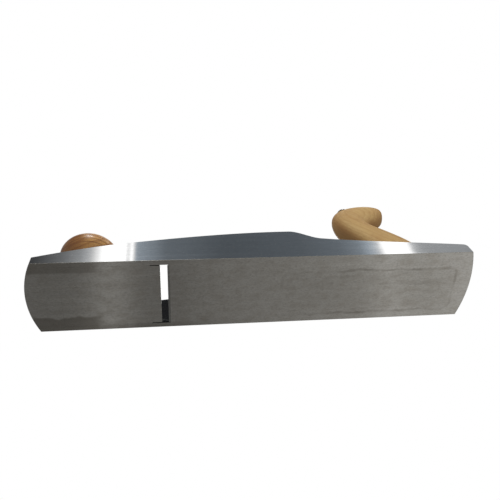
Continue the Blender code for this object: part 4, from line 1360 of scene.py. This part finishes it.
@dataclass
class Tote:
    """The shaped rear handle with its rod, nut and peg."""

    looks: Finishes
    half_thickness: float = 0.0130
    around: int = 72
    parts: int = 5
    flare: float = 0.0034
    flare_rise: float = 0.006
    nut_rise: float = 0.0021
    head_depth: float = 0.0036
    head_gap: float = 0.0003
    head_rim: float = 0.0004
    barrel_bore: float = 0.00495
    bore_sides: int = 48
    rod_room: float = 0.010
    beyond: float = 0.030
    metal_edge: float = 0.0003
    # front edge x and z, rear edge x and z, share of half_thickness, squareness to front and rear
    sections: tuple[tuple[float, ...], ...] = (
        (0.0680, 0.0000, 0.0000, 0.0000, 0.94, 2.6, 2.6),
        (0.0675, 0.0050, 0.0006, 0.0060, 0.94, 2.6, 2.6),
        (0.0620, 0.0105, 0.0020, 0.0130, 0.94, 2.6, 2.6),
        (0.0555, 0.0170, 0.0040, 0.0210, 0.95, 2.6, 2.6),
        (0.0525, 0.0255, 0.0075, 0.0310, 0.97, 2.6, 2.6),
        (0.0545, 0.0375, 0.0125, 0.0418, 1.00, 2.6, 2.6),
        (0.0602, 0.0505, 0.0194, 0.0530, 1.00, 2.6, 2.6),
        (0.0672, 0.0645, 0.0280, 0.0638, 1.00, 2.6, 2.4),
        (0.0734, 0.0780, 0.0378, 0.0736, 1.00, 2.6, 2.3),
        (0.0764, 0.0890, 0.0438, 0.0806, 1.00, 2.5, 2.2),
        (0.0770, 0.0990, 0.0436, 0.0856, 0.99, 2.3, 2.2),
        (0.0748, 0.1080, 0.0408, 0.0892, 0.97, 2.1, 2.2),
        (0.0690, 0.1156, 0.0372, 0.0920, 0.95, 2.0, 2.2),
        (0.0592, 0.1206, 0.0330, 0.0946, 0.92, 2.0, 2.1),
        (0.0480, 0.1228, 0.0290, 0.0978, 0.88, 2.0, 2.1),
        (0.0372, 0.1216, 0.0258, 0.1014, 0.81, 2.1, 2.0),
        (0.0288, 0.1176, 0.0240, 0.1060, 0.66, 2.2, 2.2),
        (0.0240, 0.1122, 0.0236, 0.1112, 0.20, 2.2, 2.2),
    )

    def build(self) -> None:
        """Lofts the handle, bores it for the nut and dresses the metal."""
        low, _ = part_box("tote")
        tote = paint(self.loft(Vector((low.x, 0.0, low.z))), self.looks.tote)
        axis = self.rod_axis()
        nut_low, nut_high, nut_radius = extent("tote_nut", axis)
        end = nut_low - self.rod_room
        seat = nut_high - self.head_depth
        far = nut_high + self.beyond
        bore = self.barrel_bore
        wide = nut_radius + self.head_gap
        rim = wide + self.flare
        well = [(0.0, end), (bore, end), (bore, seat), (wide, seat), (wide, nut_high)]
        well += [(rim, nut_high + self.flare_rise), (rim, far), (0.0, far)]
        self.cut(tote, turned("tote_bore", well, self.bore_sides, axis))
        shade(tote, 42.0)
        place(tote, "plane_body", "tote", Slot.BEECH)
        # the nut takes the near-black brass, painted shade in its hole
        nut = paint(cad_copy("tote_nut", "tote_nut_finished"), self.looks.nut_painted_shade)
        self.raise_head(nut, axis, nut_high)
        soften(nut, self.metal_edge)
        place(nut, "plane_body", "tote_nut", Slot.BRASS)
        for node in ("tote_rod", "tote_peg"):
            dress(node, "plane_body", Slot.BRIGHT, self.looks.bright, self.metal_edge)

    def raise_head(self, nut: Piece, axis: Matrix, high: float) -> None:
        """Draws the nut's head out so that it stands a little proud of the wood.

        Args:
            nut: The nut.
            axis: Frame with local Z up along the rod.
            high: Height of its top on the axis.
        """
        into = axis.inverted()
        rise = self.nut_rise * axis.to_3x3().col[2]
        for vertex in nut.data.vertices:
            if (into @ vertex.co).z > high - self.head_rim:
                vertex.co += rise

    def cut(self, tote: Piece, cutter: Piece) -> None:
        """Takes a turned form out of the handle and leaves its walls painted very dark, as painted
        shade.

        Args:
            tote: The handle.
            cutter: The form, which is used up.
        """
        paint(cutter, self.looks.bore_painted_shade)
        change = tote.modifiers.new("cut", "BOOLEAN")
        change.object = cutter
        change.operation = "DIFFERENCE"
        change.solver = "EXACT"
        change.material_mode = "TRANSFER"
        graph = bpy.context.evaluated_depsgraph_get()
        mesh = bpy.data.meshes.new_from_object(tote.evaluated_get(graph))
        tote.modifiers.clear()
        tote.data = mesh
        bpy.data.objects.remove(cutter)

    def rod_axis(self) -> Matrix:
        """Frame of the handle's rod.

        Returns:
            Frame with local Z up along the rod.
        """
        points = cad_points("tote_rod")
        middle = points.mean(axis=0)
        _, _, rows = np.linalg.svd(points - middle)
        way = Vector(rows[0]) if rows[0][2] > 0.0 else -Vector(rows[0])
        turn = way.to_track_quat("Z", "Y").to_matrix().to_4x4()
        return Matrix.Translation(Vector(middle)) @ turn

    def loft(self, corner: Vector) -> Piece:
        """Skins the handle's cross sections.

        Args:
            corner: Rear corner of the foot.

        Returns:
            The handle without its bores.
        """
        points: list[Vector] = []
        rows = smooth_line(self.sections, self.parts)
        for front_x, front_z, rear_x, rear_z, share, *squareness in rows:
            front = corner + Vector((front_x, 0.0, front_z))
            rear = corner + Vector((rear_x, 0.0, rear_z))
            for step in range(self.around):
                turn = 2.0 * math.pi * step / self.around
                power = 2.0 / squareness[0 if math.cos(turn) > 0.0 else 1]
                along = math.copysign(abs(math.cos(turn)) ** power, math.cos(turn))
                across = math.copysign(abs(math.sin(turn)) ** power, math.sin(turn))
                point = (front + rear) / 2.0 + (front - rear) / 2.0 * along
                point.y = self.half_thickness * share * across
                points.append(point)
        count = self.around
        faces = [tuple(range(count)), tuple(range(len(points) - count, len(points)))]
        for row in range(len(rows) - 1):
            for step in range(count):
                after = (step + 1) % count
                start = row * count
                faces.append((start + step, start + after, start + count + after, start + count + step))
        return new_piece("tote_shaped", mesh_of("tote_shaped", points, faces))


# Stage


@dataclass
class PhotoCamera:
    """The camera at the photograph's place, below the sole and out to its left."""

    spot: Point = (0.066071, 0.251229, -0.350007)
    right: Point = (-0.99032, 0.05003, -0.12950)
    up: Point = (-0.02426, 0.85608, 0.51628)
    back: Point = (0.13670, 0.51442, -0.84657)
    lens_mm: float = 39.48
    sensor_mm: float = 36.0
    nearest: float = 0.01
    farthest: float = 50.0

    def build(self) -> None:
        """Makes the camera the scene's own."""
        data = bpy.data.cameras.new("photo_camera")
        data.lens = self.lens_mm
        data.sensor_width = self.sensor_mm
        data.clip_start = self.nearest
        data.clip_end = self.farthest
        camera = new_piece("photo_camera", data)
        turn = Matrix((self.right, self.up, self.back)).transposed().to_4x4()
        camera.matrix_world = Matrix.Translation(self.spot) @ turn
        bpy.context.scene.camera = camera


@dataclass
class Lamp:
    """A soft square lamp that the camera doesn't see."""

    name: str
    spot: Point
    target: Point
    size: float
    power: float
    shines: bool = True

    def build(self) -> None:
        """Hangs the lamp."""
        data = bpy.data.lights.new(self.name, "AREA")
        data.shape = "SQUARE"
        data.size = self.size
        data.energy = self.power
        lamp = new_piece(self.name, data)
        way = Vector(self.target) - Vector(self.spot)
        turn = way.to_track_quat("-Z", "Y").to_matrix().to_4x4()
        lamp.matrix_world = Matrix.Translation(self.spot) @ turn
        lamp.visible_camera = False
        lamp.visible_glossy = self.shines


@dataclass
class Tent:
    """A wide light tent that only reflections see: tall soft boxes in a dim room over a paler ground."""

    reach: float = 60.0
    side: Colour = (0.42, 0.42, 0.42)
    cool: Colour = (0.865, 0.995, 1.125)
    plain: Colour = (0.965, 1.0, 1.03)
    warm: Colour = (1.026, 1.012, 0.962)
    top: float = 4.0
    overhead: Colour = (1.3, 1.3, 1.3)
    window: Colour = (1.75, 1.48, 1.0)
    # how far the boxes' sides lean, and the direction's part along Y where they don't
    slant: float = 1.06
    upright: float = 0.478
    # brightness above by a direction's part along X
    above: Outline = (
        (-0.800, 3.6), (-0.540, 0.76), (-0.432, 0.90), (-0.413, 1.2), (-0.4095, 3.7),
        (-0.363, 3.7), (-0.360, 1.55), (-0.325, 0.62), (-0.290, 0.41), (-0.220, 0.30),
        (-0.130, 0.262), (-0.085, 0.25), (0.015, 0.39), (0.068, 0.90), (0.0715, 4.0),
        (0.074, 4.0), (0.077, 2.4), (0.082, 2.5), (0.085, 4.0), (0.117, 4.0),
        (0.131, 2.35), (0.140, 1.38), (0.156, 0.80), (0.187, 0.40), (0.230, 0.15),
    )
    # brightness below
    below: Outline = (
        (-0.500, 1.10), (-0.447, 0.98), (-0.410, 0.81), (-0.376, 1.28), (-0.340, 0.69),
        (-0.220, 0.54), (-0.100, 0.455), (-0.060, 0.43), (0.010, 0.31), (0.068, 0.29),
        (0.113, 0.80), (0.160, 0.29), (0.250, 0.31),
    )

    def build(self) -> None:
        """Hangs the tent round the plane."""
        ends = (-self.reach, self.reach)
        corners = [(x, y, z) for x in ends for y in ends for z in ends]
        faces = [(0, 1, 3, 2), (4, 6, 7, 5), (0, 4, 5, 1), (2, 3, 7, 6), (0, 2, 6, 4), (1, 5, 7, 3)]
        tent = new_piece("tent", mesh_of("tent", corners, faces))
        tent.data.materials.append(self.cloth())
        tent.visible_camera = False
        tent.visible_diffuse = False
        tent.visible_transmission = False
        tent.visible_volume_scatter = False
        tent.visible_shadow = False

    def cloth(self) -> Look:
        """Brightness of the tent by direction.

        Returns:
            The material.
        """
        look = bpy.data.materials.new("tent_cloth")
        look.cycles.emission_sampling = "NONE"
        graph = empty_graph(look)
        way = graph.node("ShaderNodeVectorMath", graph.place, operation="NORMALIZE")
        x, y, z = graph.split(way.outputs[0])
        front = graph.math("MULTIPLY", graph.rise(z, 0.30, 0.50), graph.rise(y, 0.15, 0.35))
        between = graph.math("MULTIPLY", graph.rise(x, -0.41, -0.35), graph.rise(x, 0.11, 0.07))
        tint = graph.blend(between, self.plain, self.cool)
        lean = graph.math("MULTIPLY", graph.math("SUBTRACT", self.upright, y), self.slant)
        lean = graph.math("ADD", lean, 1.0)
        leaning = graph.math("MULTIPLY", x, lean)
        boxes = self.tinted(graph, graph.ramp(leaning, self.above, self.top), tint)
        ground = self.tinted(graph, graph.ramp(x, self.below, self.top), self.warm)
        tone = graph.blend(front, self.side, boxes)
        window = graph.math("MULTIPLY", graph.rise(y, 0.68, 0.76), graph.rise(z, 0.05, 0.25))
        window = graph.math("MULTIPLY", window, graph.rise(x, 0.35, 0.10))
        tone = graph.blend(window, tone, self.window)
        tone = graph.blend(graph.rise(z, -0.30, -0.55), tone, ground)
        tone = graph.blend(graph.rise(z, 0.925, 0.965), tone, self.overhead)
        glow = graph.node("ShaderNodeEmission", tone)
        graph.node("ShaderNodeOutputMaterial", glow.outputs[0])
        return look

    def tinted(self, graph: Graph, level: Socket, tint: Socket | Colour) -> Socket:
        """Gives a brightness a colour, which fades where it is bright.

        Args:
            graph: The tent's nodes.
            level: The brightness.
            tint: The colour.

        Returns:
            The coloured light.
        """
        faded = graph.blend(graph.rise(level, 0.9, 1.8), tint, (1.0, 1.0, 1.0))
        made = graph.node("ShaderNodeVectorMath", faded, operation="SCALE")
        graph.feed(made.inputs["Scale"], level)
        return made.outputs[0]


@dataclass
class Room:
    """Plain grey light with a white background, over a pale floor."""

    light: Colour = (0.50, 0.495, 0.485)
    floor_size: float = 40.0
    floor_drop: float = 0.0004
    floor_tone: Colour = (0.86, 0.86, 0.86)
    near_white: float = 0.42
    near: float = 0.30
    far: float = 1.0

    def build(self) -> None:
        """Makes the world and the floor and sets the view transform."""
        bpy.context.scene.view_settings.view_transform = "Standard"
        self.world()
        self.floor()

    def world(self) -> None:
        """Lights evenly and shows white to the camera, in metal and through glass."""
        world = bpy.data.worlds.new("room")
        bpy.context.scene.world = world
        graph = empty_graph(world)
        rays = graph.node("ShaderNodeLightPath").outputs
        seen = graph.math("MAXIMUM", rays["Is Camera Ray"], rays["Is Transmission Ray"])
        seen = graph.math("MAXIMUM", seen, rays["Is Glossy Ray"])
        glow = graph.node("ShaderNodeBackground", graph.blend(seen, self.light, (1.0, 1.0, 1.0)))
        graph.node("ShaderNodeOutputWorld", glow.outputs[0])

    def floor(self) -> None:
        """A pale floor that keeps the shadow and whitens far out; clear when seen from below."""
        half = self.floor_size / 2.0
        height = -self.floor_drop
        corners = [(-half, -half), (half, -half), (half, half), (-half, half)]
        points = [(x, y, height) for x, y in corners]
        floor = new_piece("floor", mesh_of("floor", points, [(0, 1, 2, 3)]))
        look = bpy.data.materials.new("pale_floor")
        graph = empty_graph(look)
        matt = graph.node("ShaderNodeBsdfDiffuse", (*self.floor_tone, 1.0))
        white = graph.node("ShaderNodeEmission")
        away = graph.node("ShaderNodeVectorMath", graph.place, operation="LENGTH").outputs["Value"]
        paling = graph.remap(away, self.near, self.far, self.near_white, 1.0)
        pale = graph.node("ShaderNodeMixShader", paling, matt.outputs[0], white.outputs[0])
        behind = graph.node("ShaderNodeNewGeometry").outputs["Backfacing"]
        clear = graph.node("ShaderNodeBsdfTransparent")
        mix = graph.node("ShaderNodeMixShader", behind, pale.outputs[0], clear.outputs[0])
        graph.node("ShaderNodeOutputMaterial", mix.outputs[0])
        floor.data.materials.append(look)
        floor.visible_shadow = False
        floor.visible_diffuse = False
        floor.visible_glossy = False
        floor.visible_transmission = False


def build_stage() -> None:
    """Makes the camera, the room and the tent, and hangs the lamps."""
    PhotoCamera().build()
    Room().build()
    Tent().build()
    Lamp("key", spot=(0.15, 0.88, 0.64), target=(0.0, 0.0, 0.06), size=0.30, power=5.5).build()
    Lamp(
        "soft", spot=(-0.42, 0.85, 0.08), target=(-0.12, 0.0, 0.08), size=0.5, power=2.6, shines=False
    ).build()
    Lamp("fill", spot=(-0.35, -0.70, 0.80), target=(0.0, 0.0, 0.03), size=0.7, power=6.0).build()


def main() -> None:
    """Builds every piece in order."""
    logging.basicConfig(level=logging.INFO, format="%(message)s")
    build_stage()
    looks = Finishes()
    for part in (
        Casting(looks),
        MouthGear(looks),
        FrontKnob(looks),
        CuttingIron(looks),
        DepthAdjuster(looks),
        LeverCap(looks),
        Tote(looks),
    ):
        part.build()


if __name__ == "__main__":
    main()
